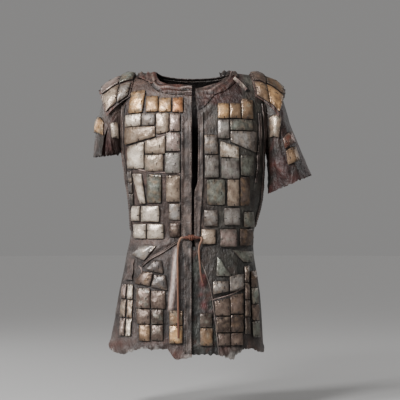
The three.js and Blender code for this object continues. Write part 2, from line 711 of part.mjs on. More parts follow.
// Plates of the left skirt
addPlates("plates_skirt_left_a", frontSurface, [
  [73, 79, -556, -611, 16, 0, 0, 17],
  [62, 106, -628, -660, 0, 0, 8],
  [66, 109, -682, -727, 2, 8, 0],
  [71, 110, -733, -776],
  [77, 111, -782, -815],
], "plate");
addPlates("plates_skirt_left_b", frontSurface, [
  [111, 151, -610, -654, 0, 6, 8],
  [113, 149, -668, -722, 0, 6, 0],
  [114, 149, -728, -776],
  [115, 147, -782, -815],
], "plate");
addPlates("plates_skirt_left_c", frontSurface, [
  [119, 180, -539, -570, 14, -6, 0, -16],
  [154, 166, -584, -630],
  [155, 168, -635, -681],
  [155, 169, -686, -732],
  [155, 170, -737, -783],
], "plate", 1.5 * SEAT);
addPlates("plates_skirt_left_d", frontSurface, [
  [172, 185, -600, -645, 2],
  [174, 188, -650, -695, 2],
  [175, 191, -700, -745, 2],
  [177, 194, -750, -795, 2],
], "plate");
const underlapLift = SEAT - LEATHER - LAP_DEPTH;
addPlates("plates_vent_left", frontSurface, [
  [24, 58, -722, -761],
  [24, 60, -766, -815],
], "goldPlate", underlapLift);

// The back has plates in even bands, three columns on each side of its middle
for (const [letter, column] of ["a", "b", "c", "d", "e", "f"].entries()) {
  const middle = BACK_PITCH * (letter - 2.5);
  const rows = BACK_BANDS.flatMap((band) => steps(band.count - 1, (_, i) => {
    const top = band.top - i * band.pitch - 4 * Math.sin(letter * 2.1);
    const spread = read(SECTIONS, "z", "half", top) / read(SECTIONS, "z", "half", UNDERARM);
    const half = spread * (BACK_PLATE / 2 - 2 + 2 * Math.sin(letter * 3 + i * 1.7));
    const centre = read(SECTIONS, "z", "centre", top) + middle * spread * 0.96;
    const tilt = 4 * Math.sin(letter * 1.3 + i);
    return [centre - half, centre + half, top, top - band.height, 0, tilt, tilt];
  }));
  const underCap = Math.abs(letter - 2.5) > 2 ? 1 : 0;
  addPlates(`plates_back_${column}`, backSurface, rows.slice(underCap), "plate", BACK_SEATS[letter]);
}

// Plates on the caps, in lines from the neck outward, and on the sleeves
for (const [word, side] of [["right", -1], ["left", 1]]) {
  const finish = side > 0 ? "goldPlate" : "plate";
  const surface = capSurface(side);
  const addLine = (place, rows) => addPlates(`plates_cap_${word}_${place}`, surface, rows, finish, CAP_PLATE_SEAT);
  addLine("front", [[-94, -54, -10, -56], [-92, -50, -62, -114]]);
  addLine("top", [[-46, -2, -8, -60], [-44, -4, -66, -114]]);
  addLine("back", [[8, 66, -10, -58], [8, 64, -64, -112]]);
}

// Sleeve plates take degrees around and hundredths along
function sleevePlateSurface(side, rows) {
  const surface = sleeveSurface(side, rows);
  return {
    point: (u, v) => surface.point(u, -v / 100),
    normal: (u, v) => surface.normal(u, -v / 100),
  };
}
const onRightSleeve = sleevePlateSurface(-1, SLEEVE_RIGHT);
const onLeftSleeve = sleevePlateSurface(1, SLEEVE_LEFT);
addPlates("plates_sleeve_right_outer", onRightSleeve, [
  [14, 66, -52.5, -68.6, 8, 8.4, 9.2, 4],
], "goldPlate", SLIT_PLATE_SEAT);
addPlates("plates_sleeve_right_inner", onRightSleeve, [
  [90.5, 100.6, -21.4, -29.1, 22.4, 20.1, 26.6, 3.2],
], "plate", SLEEVE_PLATE_SEAT);
addPlates("plates_sleeve_left_outer", onLeftSleeve, [
  [34, 74, -52, -60.5, 3, 6, 5],
  [41, 77, -63.5, -77, 3.6, 5.4, 4.2, 1.2],
], "goldPlate", SLEEVE_PLATE_SEAT);
addPlates("plates_sleeve_left_inner", onLeftSleeve, [
  [62.4, 91.8, -18.4, -28.1, 24.9, 23.8, 26.2, -0.3],
], "plate", SLEEVE_PLATE_SEAT + 0.1);

// The waist thong: a rolled knot and its two free ends
function addKnot() {
  const profile = steps(12, (s) => new THREE.Vector2(
    3.4 + (KNOT_RADIUS - 3.4) * Math.sin(Math.PI * s) * (0.82 + 0.18 * Math.cos(s * 6 * Math.PI)),
    (s - 0.5) * KNOT_LENGTH,
  ));
  profile.unshift(new THREE.Vector2(0, -KNOT_LENGTH / 2));
  profile.push(new THREE.Vector2(0, KNOT_LENGTH / 2));
  const geometry = new THREE.LatheGeometry(profile, 12);
  geometry.rotateZ(-Math.PI / 2);
  geometry.translate(KNOT_CENTRE.x, KNOT_CENTRE.y, KNOT_CENTRE.z);
  addMesh("waist_knot", geometry, "thong");
}

function addThong(name, route, count) {
  const section = new THREE.Shape(steps(7, (_, i) => new THREE.Vector2(
    THONG_RADIUS * Math.cos(i * Math.PI / 4), THONG_RADIUS * Math.sin(i * Math.PI / 4),
  )));
  const path = new THREE.CatmullRomCurve3(route.map(([x, y, z]) => new THREE.Vector3(x, y, z)));
  addMesh(name, new THREE.ExtrudeGeometry(section, { steps: count, extrudePath: path }), "thong");
}
addKnot();
addThong("lace_right", LACE_RIGHT, 26);
addThong("lace_left", LACE_LEFT, 14);

export default tunic;
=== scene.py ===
"""A leather tunic armoured with sewn-on plates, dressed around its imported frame.

Tables hold millimetres: X runs to the wearer's left, Y to the back and Z up, and the origin is the middle
of the shoulder line. Meshes are written in metres. Right and left are the wearer's.
"""

import logging
import math
from collections.abc import Callable, Sequence
from dataclasses import dataclass, field
from enum import Enum, IntEnum

import bpy
import numpy as np
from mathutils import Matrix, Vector


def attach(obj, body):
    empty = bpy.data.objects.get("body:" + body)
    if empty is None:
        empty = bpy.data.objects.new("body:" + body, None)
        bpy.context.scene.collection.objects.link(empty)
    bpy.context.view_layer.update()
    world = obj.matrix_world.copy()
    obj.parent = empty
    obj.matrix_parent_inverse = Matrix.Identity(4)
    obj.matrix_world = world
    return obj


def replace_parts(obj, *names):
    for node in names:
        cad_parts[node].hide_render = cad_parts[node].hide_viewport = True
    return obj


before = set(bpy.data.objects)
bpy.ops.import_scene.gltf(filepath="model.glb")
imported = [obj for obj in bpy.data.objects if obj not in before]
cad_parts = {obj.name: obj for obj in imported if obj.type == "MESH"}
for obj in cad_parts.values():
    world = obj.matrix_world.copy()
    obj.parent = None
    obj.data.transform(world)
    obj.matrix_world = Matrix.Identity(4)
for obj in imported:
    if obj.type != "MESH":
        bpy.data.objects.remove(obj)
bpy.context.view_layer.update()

LOG = logging.getLogger("tunic")

Grid = np.ndarray
Colour = tuple[float, float, float]
Rows = Sequence[Sequence[float]]
Route = tuple[tuple[float, float], ...]

MM = 0.001
# thickness of the body's leather, half the gap at a seam, gap under what lies on a panel, thickness of
# plates and of bands
LEATHER = 2.5
SEAM = 0.2
SEAT = 1.1
PLATE = 2.6
STRAP = 2.2
ROUND_POWER = 0.8
RIDGE_Y = 8
SHOULDER_DROP = 17
NECK_POINT = 116
UNDERARM = -240
CHEST = -110
SKIRT_TOP = -740
HEM = -835
WAIST_ROWS = (-530, -395)
# a sheet with less area than this share of its width by length is declared by its mean width
SLIM_SHARE = 0.35

# z, half width, front depth, back depth, centre
SECTIONS = (
    (0, 226, 0, 0, 3), (-6, 227, 30, 32, 3), (-18, 228, 57, 60, 3), (-38, 229, 85, 88, 3),
    (-66, 231, 107, 108, 3), (-110, 232, 126, 122, 3), (-150, 229, 136, 128, 3), (-200, 223, 141, 130, 3),
    (-240, 217, 142, 128, 3), (-300, 213, 138, 124, 5), (-385, 204, 128, 116, 7), (-440, 194, 120, 110, 4),
    (-487, 186, 115, 107, -1), (-550, 193, 121, 114, -7), (-625, 204, 129, 122, -8),
    (-710, 214, 137, 131, -11), (-820, 228, 147, 142, -19), (-870, 233, 151, 147, -22),
)
# z, turn of the armhole seam
ARMHOLE = ((0, 56), (-40, 60), (-90, 65), (-140, 69), (-190, 74), (-222, 81), (-240, 90), (-900, 90))
# x, z along the neck edge
NECK_RIGHT = ((-116, 0), (-110, -22), (-96, -38), (-70, -46), (-35, -48), (0, -50))
NECK_LEFT = ((8, -60), (25, -57), (55, -49), (85, -38), (106, -20), (116, 0))
NECK_BACK = ((-116, 0), (-106, -8), (-80, -16), (0, -21), (80, -16), (106, -8), (116, 0))
# turn, z along the hem
HEMLINE = (
    (-180, -836), (-150, -846), (-125, -828), (-90, -824), (-52, -845), (-33, -827), (-12, -827),
    (-6, -856), (2, -846), (21, -857), (28, -842), (50, -827), (75, -843), (105, -830), (140, -846),
    (180, -836),
)
# z, x of the left front's free edge
FRONT_EDGE_LEFT = (
    (0, 8), (-70, 9), (-130, 15), (-180, 17), (-330, 15), (-365, 5), (-500, 5), (-540, 14), (-640, 50),
    (-760, 68), (-870, 80),
)
# turn, top, bottom, depth, width, lean of the soft flutes
FOLDS = (
    (-8.5, -505, -715, 6, 6.5, -2), (-78, -560, -880, 5, 12, -2), (-108, -540, -880, 8, 12, 4),
    (-145, -520, -880, 8, 13, -5), (178, -540, -880, 7, 13, 4), (138, -520, -880, 8, 12, 5),
    (102, -560, -880, 7, 12, -4), (76, -560, -880, 5, 12, 0), (-150, -300, -480, -5, 14, 4),
    (150, -300, -480, -5, 14, -4),
)
# z, x of the bands along the front edges
PLACKET_RIGHT = ((-79, -23), (-122, -24), (-140, -32), (-505, -32), (-560, -24), (-860, -24))
PLACKET_LEFT = ((-124, 32), (-330, 32), (-370, 30), (-460, 23), (-510, 22))
PLACKET_RIGHT_TOP = -79
PLACKET_LEFT_FOOT = -508
# z, turn of the strips over the armhole and side seams
STRIP_RIGHT = (
    (-94, -61), (-120, -63), (-150, -65.5), (-190, -69.5), (-240, -74), (-290, -75), (-355, -75),
    (-424, -76), (-481, -77),
)
STRIP_LEFT = (
    (-90, 60.5), (-120, 63), (-150, 65.5), (-190, 69.5), (-240, 74), (-290, 75), (-355, 75), (-424, 75),
    (-470, 75),
)
STRIP_LEFT_INNER = ((-122, 54), (-165, 57), (-215, 59.5), (-266, 59), (-335, 57))
# node, line, width in degrees
STRIPS = (
    ("strip_right", STRIP_RIGHT, 6.4), ("strip_left", STRIP_LEFT, 6.4),
    ("strip_left_inner", STRIP_LEFT_INNER, 3.4),
)
WAIST_EDGE = ((-151, -583), (-127, -562), (-82, -536), (-50, -514), (-37, -506))
# share of the collar's width, thickness
COLLAR_PROFILE = ((0, 1.8), (0.22, 4.4), (0.45, 2.9), (0.72, 4.8), (1, 1.8))
# along, outer x, outer z, inner x, inner z, depth of the sleeves
SLEEVE_RIGHT = (
    (0, 199, -12, 216, -240, 70), (0.2, 250, -42, 220, -243, 75), (0.4, 274, -92, 223, -245, 73),
    (0.6, 288, -145, 226, -247, 68), (0.8, 296, -200, 228, -248, 62), (1, 300, -256, 229, -247, 58),
)
SLEEVE_LEFT = (
    (0, 205, -12, 221, -240, 70), (0.16, 258, -42, 225, -258, 76), (0.33, 277, -90, 227, -278, 80),
    (0.5, 294, -150, 228, -300, 82), (0.66, 318, -212, 228, -322, 84), (0.83, 339, -264, 227, -345, 85),
    (1, 358, -312, 226, -367, 85),
)
# x, y, z of the waist thong's two free ends
LACE_RIGHT = (
    (-28.4, -118.6, -497), (-32.5, -118.7, -497.2), (-38, -119.6, -505), (-42, -121, -518),
    (-44, -124, -545), (-44, -128, -575), (-43.5, -132.5, -610), (-43, -135.5, -650), (-42.5, -138.5, -690),
    (-42, -142, -720), (-41.5, -145, -755), (-41, -147, -793),
)
LACE_LEFT = (
    (22.4, -118.6, -497), (26.2, -118.6, -497.2), (27.6, -119.4, -504.5), (23.4, -120.2, -513),
    (19.5, -119.8, -527), (20, -119.6, -550), (22.5, -122, -580), (25.5, -125, -610), (31, -127, -633),
)
KNOT_CENTRE = (-3, -118.6, -497)


class Tone(Enum):
    """The paint and leather tones, as a maker would mix them, and SHADOW, the tone of painted shade."""

    AMBER = "c98c5c"
    GOLD = "c69d6e"
    CREAM = "dccfbe"
    SAND = "a3917f"
    PEWTER = "908b86"
    ROSE = "97857e"
    MOSS = "777b72"
    UMBER = "6b5b52"
    BRONZE = "8a7056"
    EARTH = "4b4039"
    MAUVE = "4c3e38"
    DUSK = "2b2520"
    SHADOW = "241f1e"
    ASH = "5a504b"
    SLATE = "565352"
    RUST = "59352b"
    WINE = "3f2421"
    THONG = "633a2a"
    PALE_THONG = "866551"
    THREAD = "2a1a14"
    STEEL = "d8d8d4"

    @property
    def linear(self) -> Grid:
        """The tone as a linear colour."""
        parts = np.array([int(self.value[i:i + 2], 16) for i in (0, 2, 4)]) / 255
        return np.where(parts <= 0.04045, parts / 12.92, ((parts + 0.055) / 1.055) ** 2.4)


class Side(IntEnum):
    """The wearer's side, which is also the sign of X there."""

    RIGHT = -1
    LEFT = 1

    @property
    def word(self) -> str:
        """The side's word in the names of pieces."""
        return self.name.lower()


class Held(Enum):
    """How a sheet of leather is held."""

    HUNG = "hung"
    GATHERED = "gathered"
    STRETCHED = "stretched"


def smooth(share: Grid) -> Grid:
    """An even step from 0 to 1 with soft ends."""
    held = np.clip(share, 0, 1)
    return held * held * (3 - 2 * held)


def hump(away: Grid, width: float) -> Grid:
    """A soft hump: 1 at no distance, and near 0 past twice its width."""
    return np.exp(-((away / width) ** 2))


def mix(low: Grid, high: Grid, share: Grid) -> Grid:
    """The value between low and high at a share."""
    return low + (high - low) * share


def blend(low: Grid, high: Grid, share: Grid) -> Grid:
    """Colours between two others, one for each number in share."""
    return low + (high - low) * np.clip(share, 0, 1)[..., None]


def pair(u: Grid, v: Grid) -> tuple[Grid, Grid]:
    """Two coordinates as arrays of one shape."""
    return tuple(np.broadcast_arrays(np.asarray(u, float), np.asarray(v, float)))


def ripple(u: Grid, v: Grid, length: float, seed: int, waves: int = 9) -> Grid:
    """Smooth uneven waves over two coordinates.

    Args:
        u: the first coordinate.
        v: the second coordinate.
        length: the usual wave length, in the coordinates' unit.
        seed: picks the waves.
        waves: how many waves are added.

    Returns:
        Numbers that lie mostly between -1 and 1.
    """
    rng = np.random.default_rng(seed)
    total = np.zeros(np.broadcast(u, v).shape)
    for _ in range(waves):
        angle, phase = rng.uniform(0, 2 * math.pi, 2)
        size = length * rng.uniform(0.6, 1.6)
        total += np.sin(2 * math.pi * (u * math.cos(angle) + v * math.sin(angle)) / size + phase)
    return total / math.sqrt(waves)


def skirt_shade(height: Grid) -> Grid:
    """Painted shade: how much darker the leather is painted at the skirt than at the chest, as a factor."""
    return (1 - 0.55 * smooth((-460 - height) / 130))[..., None]


def reach_along(points: Grid) -> Grid:
    """The distance along a line at each of its points."""
    return np.concatenate([[0], np.cumsum(np.linalg.norm(np.diff(points, axis=0), axis=1))])


def places(spots: Grid, keys: Grid, line: Grid) -> Grid:
    """The points of a line at spots, where its own points lie at keys."""
    return np.stack([np.interp(spots, keys, line[:, k]) for k in range(line.shape[1])], -1)


def even_steps(values: Grid, points: Grid, spacing: float) -> Grid:
    """Picks values so that their points lie evenly apart.

    Args:
        values: densely spaced values.
        points: the point at each value.
        spacing: the wanted distance between points.

    Returns:
        The picked values, ends included.
    """
    reach = reach_along(points)
    count = max(int(round(reach[-1] / spacing)), 2)
    return np.interp(np.linspace(0, reach[-1], count + 1), reach, values)


def smooth_path(points: Rows, spacing: float) -> Grid:
    """A smooth line through points, with its own points evenly apart.

    Args:
        points: the points to pass through.
        spacing: the distance between the line's points.

    Returns:
        The line's points, one a row.
    """
    given = np.array(points, float)
    knots = np.concatenate([[2 * given[0] - given[1]], given, [2 * given[-1] - given[-2]]])
    times = np.concatenate([[0], np.cumsum(np.linalg.norm(np.diff(knots, axis=0), axis=1) ** 0.5)])
    dense = []
    for i in range(1, len(knots) - 2):
        parts, ends = list(knots[i - 1:i + 3]), times[i - 1:i + 3]
        t = np.linspace(ends[1], ends[2], 24, endpoint=False)[:, None]
        for gap, first in ((1, 0), (2, 0), (1, 1)):
            parts = [
                low + (high - low) * (t - ends[k + first]) / (ends[k + first + gap] - ends[k + first])
                for k, (low, high) in enumerate(zip(parts, parts[1:]))
            ]
        dense.append(parts[0])
    line = np.concatenate([*dense, given[-1:]])
    ticks = np.arange(len(line))
    return places(even_steps(ticks, line, spacing), ticks, line)


class Profile:
    """One column of a table, read smoothly between its rows."""

    def __init__(self, rows: Rows, value: int = 1, key: int = 0) -> None:
        """Sorts the rows by their key.

        Args:
            rows: the table's rows.
            value: the place of the column that is read.
            key: the place of the column that it is read at.
        """
        ordered = sorted(rows, key=lambda row: row[key])
        self.keys = np.array([row[key] for row in ordered], float)
        self.values = np.array([row[value] for row in ordered], float)

    def __call__(self, at: Grid) -> Grid:
        """The column's value at any key.

        Args:
            at: the keys to read at, held within the table.

        Returns:
            A value for each key.
        """
        keys, values = self.keys, self.values
        last = len(keys) - 1
        held = np.clip(np.asarray(at, float), keys[0], keys[-1])
        low = np.clip(np.searchsorted(keys, held, side="right") - 1, 0, last - 1)
        high = low + 1
        before = np.maximum(low - 1, 0)
        after = np.minimum(high + 1, last)
        span = keys[high] - keys[low]
        limit = 3 * np.abs(values[high] - values[low])
        start = np.clip((values[high] - values[before]) / (keys[high] - keys[before]) * span, -limit, limit)
        end = np.clip((values[after] - values[low]) / (keys[after] - keys[low]) * span, -limit, limit)
        s = (held - keys[low]) / span
        ends = (2 * s**3 - 3 * s**2 + 1) * values[low] + (3 * s**2 - 2 * s**3) * values[high]
        return ends + (s**3 - 2 * s**2 + s) * start + (s**3 - s**2) * end


class Form:
    """A surface to lay pieces on, read by two coordinates."""

    def point(self, u: Grid, v: Grid) -> Grid:
        """The surface's points."""
        raise NotImplementedError

    def normal(self, u: Grid, v: Grid) -> Grid:
        """The surface's outward directions."""
        raise NotImplementedError

    def laid(self, u: Grid, v: Grid, lift: Grid) -> Grid:
        """Points that stand off the surface.

        Args:
            u: the first coordinate.
            v: the second coordinate.
            lift: how far each point stands off.

        Returns:
            The points.
        """
        place = self.point(u, v)
        return place + self.normal(u, v) * np.broadcast_to(lift, place.shape[:-1])[..., None]


def unit(vectors: Grid) -> Grid:
    """Vectors of length 1."""
    return vectors / np.maximum(np.linalg.norm(vectors, axis=-1, keepdims=True), 1e-9)


@dataclass(frozen=True)
class Crease:
    """A soft ridge, or below zero a trough, along a path over a surface."""

    path: Route
    width: float
    height: float

    def relief(self, u: Grid, v: Grid) -> Grid:
        """How far the crease lifts each point of the surface.

        Args:
            u: the first coordinate.
            v: the second coordinate.

        Returns:
            A height for each point.
        """
        corners = np.array(self.path, float)
        reach = 3 * self.width
        low, high = corners.min(0) - reach, corners.max(0) + reach
        if np.max(u) < low[0] or np.min(u) > high[0] or np.max(v) < low[1] or np.min(v) > high[1]:
            return np.zeros(np.broadcast(u, v).shape)
        sides, begun = np.diff(corners, axis=0), reach_along(corners)
        nearest = np.full(np.broadcast(u, v).shape, np.inf)
        along = np.zeros(nearest.shape)
        for corner, side, start, end in zip(corners, sides, begun, begun[1:]):
            onto = (u - corner[0]) * side[0] + (v - corner[1]) * side[1]
            share = np.clip(onto / (end - start) ** 2, 0, 1)
            away = np.hypot(u - corner[0] - side[0] * share, v - corner[1] - side[1] * share)
            along = np.where(away < nearest, mix(start, end, share) / begun[-1], along)
            nearest = np.minimum(away, nearest)
        fade = smooth(along * 5) * smooth((1 - along) * 5)
        return self.height * fade * hump(nearest, self.width)


def creases(*rows: Sequence[float]) -> tuple[Crease, ...]:
    """Creases from rows of width, height and then the two coordinates of each point."""
    return tuple(Crease(tuple(zip(row[2::2], row[3::2])), *row[:2]) for row in rows)


FRONT_CREASES = creases(
    (7, 5.5, -45, -506, -49, -560, -56, -630, -63, -690, -69, -730),
    (8, -3.5, -58, -520, -66, -600, -74, -700, -80, -820),
    (5, -2.5, -28, -530, -33, -620, -34, -720, -30, -835), (6, -3.5, -178, -595, -183, -690, -188, -800),
    (4, -3, -160, -735, -162, -780, -158, -835), (4, -3, -108, -520, -132, -545, -152, -575, -162, -610),
    (5, 2.2, -150, -550, -120, -540, -86, -522, -40, -500),
    (8, 2, -36, -470, -70, -508, -120, -530, -165, -540),
    (3.5, -1.4, -182, -280, -150, -293, -115, -305, -80, -309, -36, -306),
    (3.5, 1.6, -150, -301, -110, -314, -60, -314), (4, 2.4, -95, -395, -88, -420, -90, -470, -84, -500),
    (6, -2.5, -205, -245, -196, -310, -192, -380, -180, -440), (7, 2.5, -204, -420, -190, -470, -185, -520),
    (8, 3.5, -214, -560, -222, -640, -230, -760), (5, -1.6, -24, -140, -21, -260, -26, -380, -24, -500),
    (3, 1.6, -30, -150, -31, -300, -31, -480), (4, 1.6, 27, -160, 29, -260, 28, -380, 20, -470),
    (3.5, -1.8, 34, -170, 33, -240, 34, -330), (7, 3, 14, -150, 40, -118, 66, -92),
    (6, -2.5, 20, -176, 48, -140, 72, -112), (8, -2.5, 66, -96, 98, -72, 140, -58),
    (7, 2.2, 120, -62, 150, -76, 176, -110), (6, 2, -60, -60, -110, -66, -140, -52),
    (6, -2.2, 18, -515, 60, -527, 120, -532, 170, -528), (5, 1.8, 40, -500, 84, -466, 140, -468, 185, -476),
    (4, 1.6, 22, -404, 80, -404, 145, -408), (4.5, -3, 58, -677, 110, -664, 162, -642),
    (3, 1.6, 62, -668, 112, -656, 160, -634), (6, -2, 64, -560, 90, -590, 118, -606),
    (5, 2, 112, -560, 130, -590, 140, -612), (6, 3, 184, -560, 192, -640, 194, -740),
    (4, -2.6, 168, -590, 172, -680, 174, -790), (6, 2.2, 150, -240, 176, -262, 200, -300),
    (5, -2.2, 186, -320, 178, -380, 184, -450), (5, 1.5, 96, -330, 100, -400),
    (5, 2.5, 90, -806, 110, -830, 120, -850), (6, 3, -120, -812, -132, -835),
    (8, 3.5, -210, -800, -200, -840),
)
BACK_CREASES = creases(
    (8, -3, -170, -462, -110, -484, -50, -490, 20, -478), (9, 3, -30, -505, 50, -512, 120, -498, 175, -486),
    (7, 2.5, -176, -520, -120, -534, -70, -528), (7, -2.5, 60, -455, 120, -446, 180, -462),
    (9, 2.5, -120, -60, -60, -78, 10, -70), (8, -2.2, 30, -52, 80, -66, 140, -58),
    (9, 3, -190, -250, -160, -310, -168, -390), (8, -3, 188, -240, 164, -300, 176, -380),
    (5, 2, -6, -90, 3, -200, -4, -330), (8, -3.5, -196, -600, -204, -700, -198, -800),
    (8, 3.5, 186, -590, 196, -690, 206, -790), (7, -3, 0, -560, 8, -660, -4, -790),
    (8, 3, -130, -800, -120, -840), (7, -3, 90, -806, 104, -845),
)


@dataclass(frozen=True)
class Torso:
    """The worn body: turn 0 is the centre front, 90 the left side and 180 the back, in degrees."""

    half: Profile = Profile(SECTIONS, 1)
    front: Profile = Profile(SECTIONS, 2)
    back: Profile = Profile(SECTIONS, 3)
    centre: Profile = Profile(SECTIONS, 4)

    def fold(self, turn: Grid, height: Grid) -> Grid:
        """How deep the soft flutes are.

        Args:
            turn: degrees round the body.
            height: the level.

        Returns:
            A depth for each point.
        """
        depth = np.zeros(np.broadcast(turn, height).shape)
        for place, top, bottom, deep, width, lean in FOLDS:
            if np.min(height) > top or np.max(height) < bottom:
                continue
            run = (top - height) / (top - bottom)
            away = (turn - place - lean * run + 540) % 360 - 180
            end = smooth((1 - run) * 6 + (1 if bottom < HEM else 0))
            shown = (height <= top) & (height >= bottom)
            depth += np.where(shown, deep * smooth(run * 2.5) * end * hump(away, width), 0)
        return depth

    def point(self, turn: Grid, height: Grid) -> Grid:
        """Points of the plain worn surface.

        Args:
            turn: degrees round the body.
            height: the level, before the shoulders' slope lowers it.

        Returns:
            The points.
        """
        across, along = np.sin(np.radians(turn)), np.cos(np.radians(turn))
        side = np.sign(across) * np.abs(across) ** ROUND_POWER
        ahead = np.sign(along) * np.abs(along) ** ROUND_POWER
        half = self.half(height)
        depth = np.maximum(np.where(along > 0, self.front(height), self.back(height)), 0)
        fold = self.fold(turn, height)
        out = np.maximum(np.abs(half * side) - NECK_POINT, 0) / (half - NECK_POINT)
        drop = SHOULDER_DROP * out**1.5 * smooth((height - UNDERARM) / -UNDERARM)
        return np.stack(np.broadcast_arrays(
            self.centre(height) + half * side + fold * across,
            RIDGE_Y - depth * ahead - fold * along,
            height - drop,
        ), -1)

    def normal(self, turn: Grid, height: Grid) -> Grid:
        """Outward directions of the plain worn surface.

        Args:
            turn: degrees round the body.
            height: the level.

        Returns:
            A direction of length 1 for each point.
        """
        step = 0.4
        turn, height = pair(turn, height)
        around = self.point(turn + step, height) - self.point(turn - step, height)
        rise = self.point(turn, np.minimum(height + step, 0)) - self.point(turn, height - step)
        normal = unit(np.cross(around, rise))
        seam = (height > -0.01) | (np.abs(np.abs(turn) - 90) < 0.01) | (np.abs(turn - 270) < 0.01)
        normal[..., 1] = np.where(seam, 0, normal[..., 1])
        return unit(normal)

    def turn_at(self, x: Grid, height: Grid, back: Grid = False) -> Grid:
        """The turn at which the surface passes a sideways place.

        Args:
            x: the sideways place.
            height: the level.
            back: true where the back is meant.

        Returns:
            Degrees round the body.
        """
        share = np.clip((x - self.centre(height)) / self.half(height), -1, 1)
        turn = np.degrees(np.arcsin(np.sign(share) * np.abs(share) ** (1 / ROUND_POWER)))
        return np.where(back, 180 - turn, turn)


TORSO = Torso()


@dataclass(frozen=True)
class Worn(Form):
    """The worn body with its creases, read by turn and height."""

    small_wave: float = 0.55

    def relief(self, turn: Grid, height: Grid) -> Grid:
        """How far creases lift each point.

        Args:
            turn: degrees round the body.
            height: the level.

        Returns:
            A height for each point.
        """
        turn, height = pair(turn, height)
        x = TORSO.point(turn, height)[..., 0]
        ahead = np.cos(np.radians(turn))
        lift = np.zeros(x.shape)
        for group, here in ((FRONT_CREASES, ahead > 0), (BACK_CREASES, ahead <= 0)):
            if np.any(here):
                lift += np.where(here, sum(crease.relief(x, height) for crease in group), 0)
        waves = self.small_wave * ripple(x * 1.6, height, 46, 5) * (1 + 0.8 * smooth((-700 - height) / 120))
        waves = waves + 0.28 * ripple(x * 2.2, height, 19, 6)
        return (lift + waves) * smooth(np.abs(ahead) * 4) * smooth(-height / 20)

    def point(self, turn: Grid, height: Grid) -> Grid:
        """Points of the creased body."""
        return TORSO.point(turn, height) + TORSO.normal(turn, height) * self.relief(turn, height)[..., None]

    def normal(self, turn: Grid, height: Grid) -> Grid:
        """Outward directions of the plain body."""
        return TORSO.normal(turn, height)


@dataclass(frozen=True)
class Face(Form):
    """The front or the back of the worn body, read by x and z."""

    back: bool = False

    def point(self, u: Grid, v: Grid) -> Grid:
        """Points at x and z."""
        return WORN.point(TORSO.turn_at(u, v, self.back), v)

    def normal(self, u: Grid, v: Grid) -> Grid:
        """Outward directions at x and z."""
        return TORSO.normal(TORSO.turn_at(u, v, self.back), v)


WORN = Worn()
FRONT = Face()
BACK = Face(True)


def armhole(side: Side, around: Grid) -> tuple[Grid, Grid]:
    """The armhole seam.

    Args:
        side: the wearer's side.
        around: degrees, 0 at the shoulder, 90 in front and 180 at the underarm.

    Returns:
        The seam's points and the body's outward directions there.
    """
    height = UNDERARM * (1 - np.cos(np.radians(around))) / 2
    edge = Profile(ARMHOLE)(height)
    turn = side * np.where(np.sin(np.radians(around)) > 0, edge, 180 - edge)
    return TORSO.point(turn, height), TORSO.normal(turn, height)


@dataclass(frozen=True)
class SleeveForm(Form):
    """A sleeve, read by degrees around and the share along."""

    side: Side
    rows: Rows
    creases: tuple[Crease, ...]
    gap: float = 0.6
    wave: float = 3
    degree: float = 1.3
    length: float = 240

    def ring(self, sizes: Sequence[Grid], around: Grid) -> Grid:
        """Points of a plain ring through its outer and inner ends.

        Args:
            sizes: its outer x and z, its inner x and z, and its depth.
            around: degrees around.

        Returns:
            The points.
        """
        out_x, out_z, in_x, in_z, depth = sizes
        turn = np.radians(around)
        return np.stack(np.broadcast_arrays(
            self.side * mix((out_x + in_x) / 2, out_x, np.cos(turn)),
            RIDGE_Y - depth * np.sin(turn),
            mix((out_z + in_z) / 2, out_z, np.cos(turn)),
        ), -1)

    def plain(self, around: Grid, along: Grid) -> Grid:
        """Points of the sleeve without its creases.

        Args:
            around: degrees around.
            along: the share from the armhole to the hem.

        Returns:
            The points.
        """
        around, along = pair(around, along)
        sizes = [Profile(self.rows, column)(along) for column in range(1, 6)]
        point = self.ring(sizes, around)
        start = self.ring(self.rows[0][1:], around)
        hold = np.clip(1 - along / 0.4, 0, 1) ** 2
        wave = self.wave * smooth((along - 0.5) * 2) * np.sin(np.radians(around) * 5 + self.side)
        middle = np.stack([
            self.side * (sizes[0] + sizes[2]) / 2, RIDGE_Y + 0 * along, (sizes[1] + sizes[3]) / 2,
        ], -1)
        point = point + unit(point - middle) * wave[..., None]
        point = point + (armhole(self.side, around)[0] - start) * hold[..., None]
        return point + np.array([self.side * self.gap, 0, 0])

    def relief(self, around: Grid, along: Grid) -> Grid:
        """How far creases lift each point.

        Args:
            around: degrees around.
            along: the share along.

        Returns:
            A height for each point.
        """
        u, v = np.asarray(around) * self.degree, -np.asarray(along) * self.length
        lift = sum(crease.relief(u, v) for crease in self.creases)
        return (lift + 0.6 * ripple(u * 1.4, v, 38, 11)) * smooth(np.asarray(along) * 6)

    def point(self, u: Grid, v: Grid) -> Grid:
        """Points of the creased sleeve."""
        return self.plain(u, v) + self.normal(u, v) * self.relief(u, v)[..., None]

    def normal(self, u: Grid, v: Grid) -> Grid:
        """Outward directions of the plain sleeve.

        Args:
            u: degrees around.
            v: the share along.

        Returns:
            A direction of length 1 for each point.
        """
        u, v = pair(u, v)
        turned = self.plain(u + 1, v) - self.plain(u - 1, v)
        run = self.plain(u, np.minimum(v + 0.01, 1)) - self.plain(u, np.maximum(v - 0.01, 0))
        out = unit(np.cross(turned, run) * self.side)
        out[..., 0] = np.where(v < 0.001, 0, out[..., 0])
        out[..., 1] = np.where(np.abs(u - 180) < 1, 0, out[..., 1])
        return unit(out)


@dataclass(frozen=True)
class OnSleeve(Form):
    """A sleeve for plates, read by degrees around and hundredths along, below zero."""

    sleeve: SleeveForm

    def point(self, u: Grid, v: Grid) -> Grid:
        """Points of the sleeve."""
        return self.sleeve.point(u, -np.asarray(v) / 100)

    def normal(self, u: Grid, v: Grid) -> Grid:
        """Outward directions of the sleeve."""
        return self.sleeve.normal(u, -np.asarray(v) / 100)


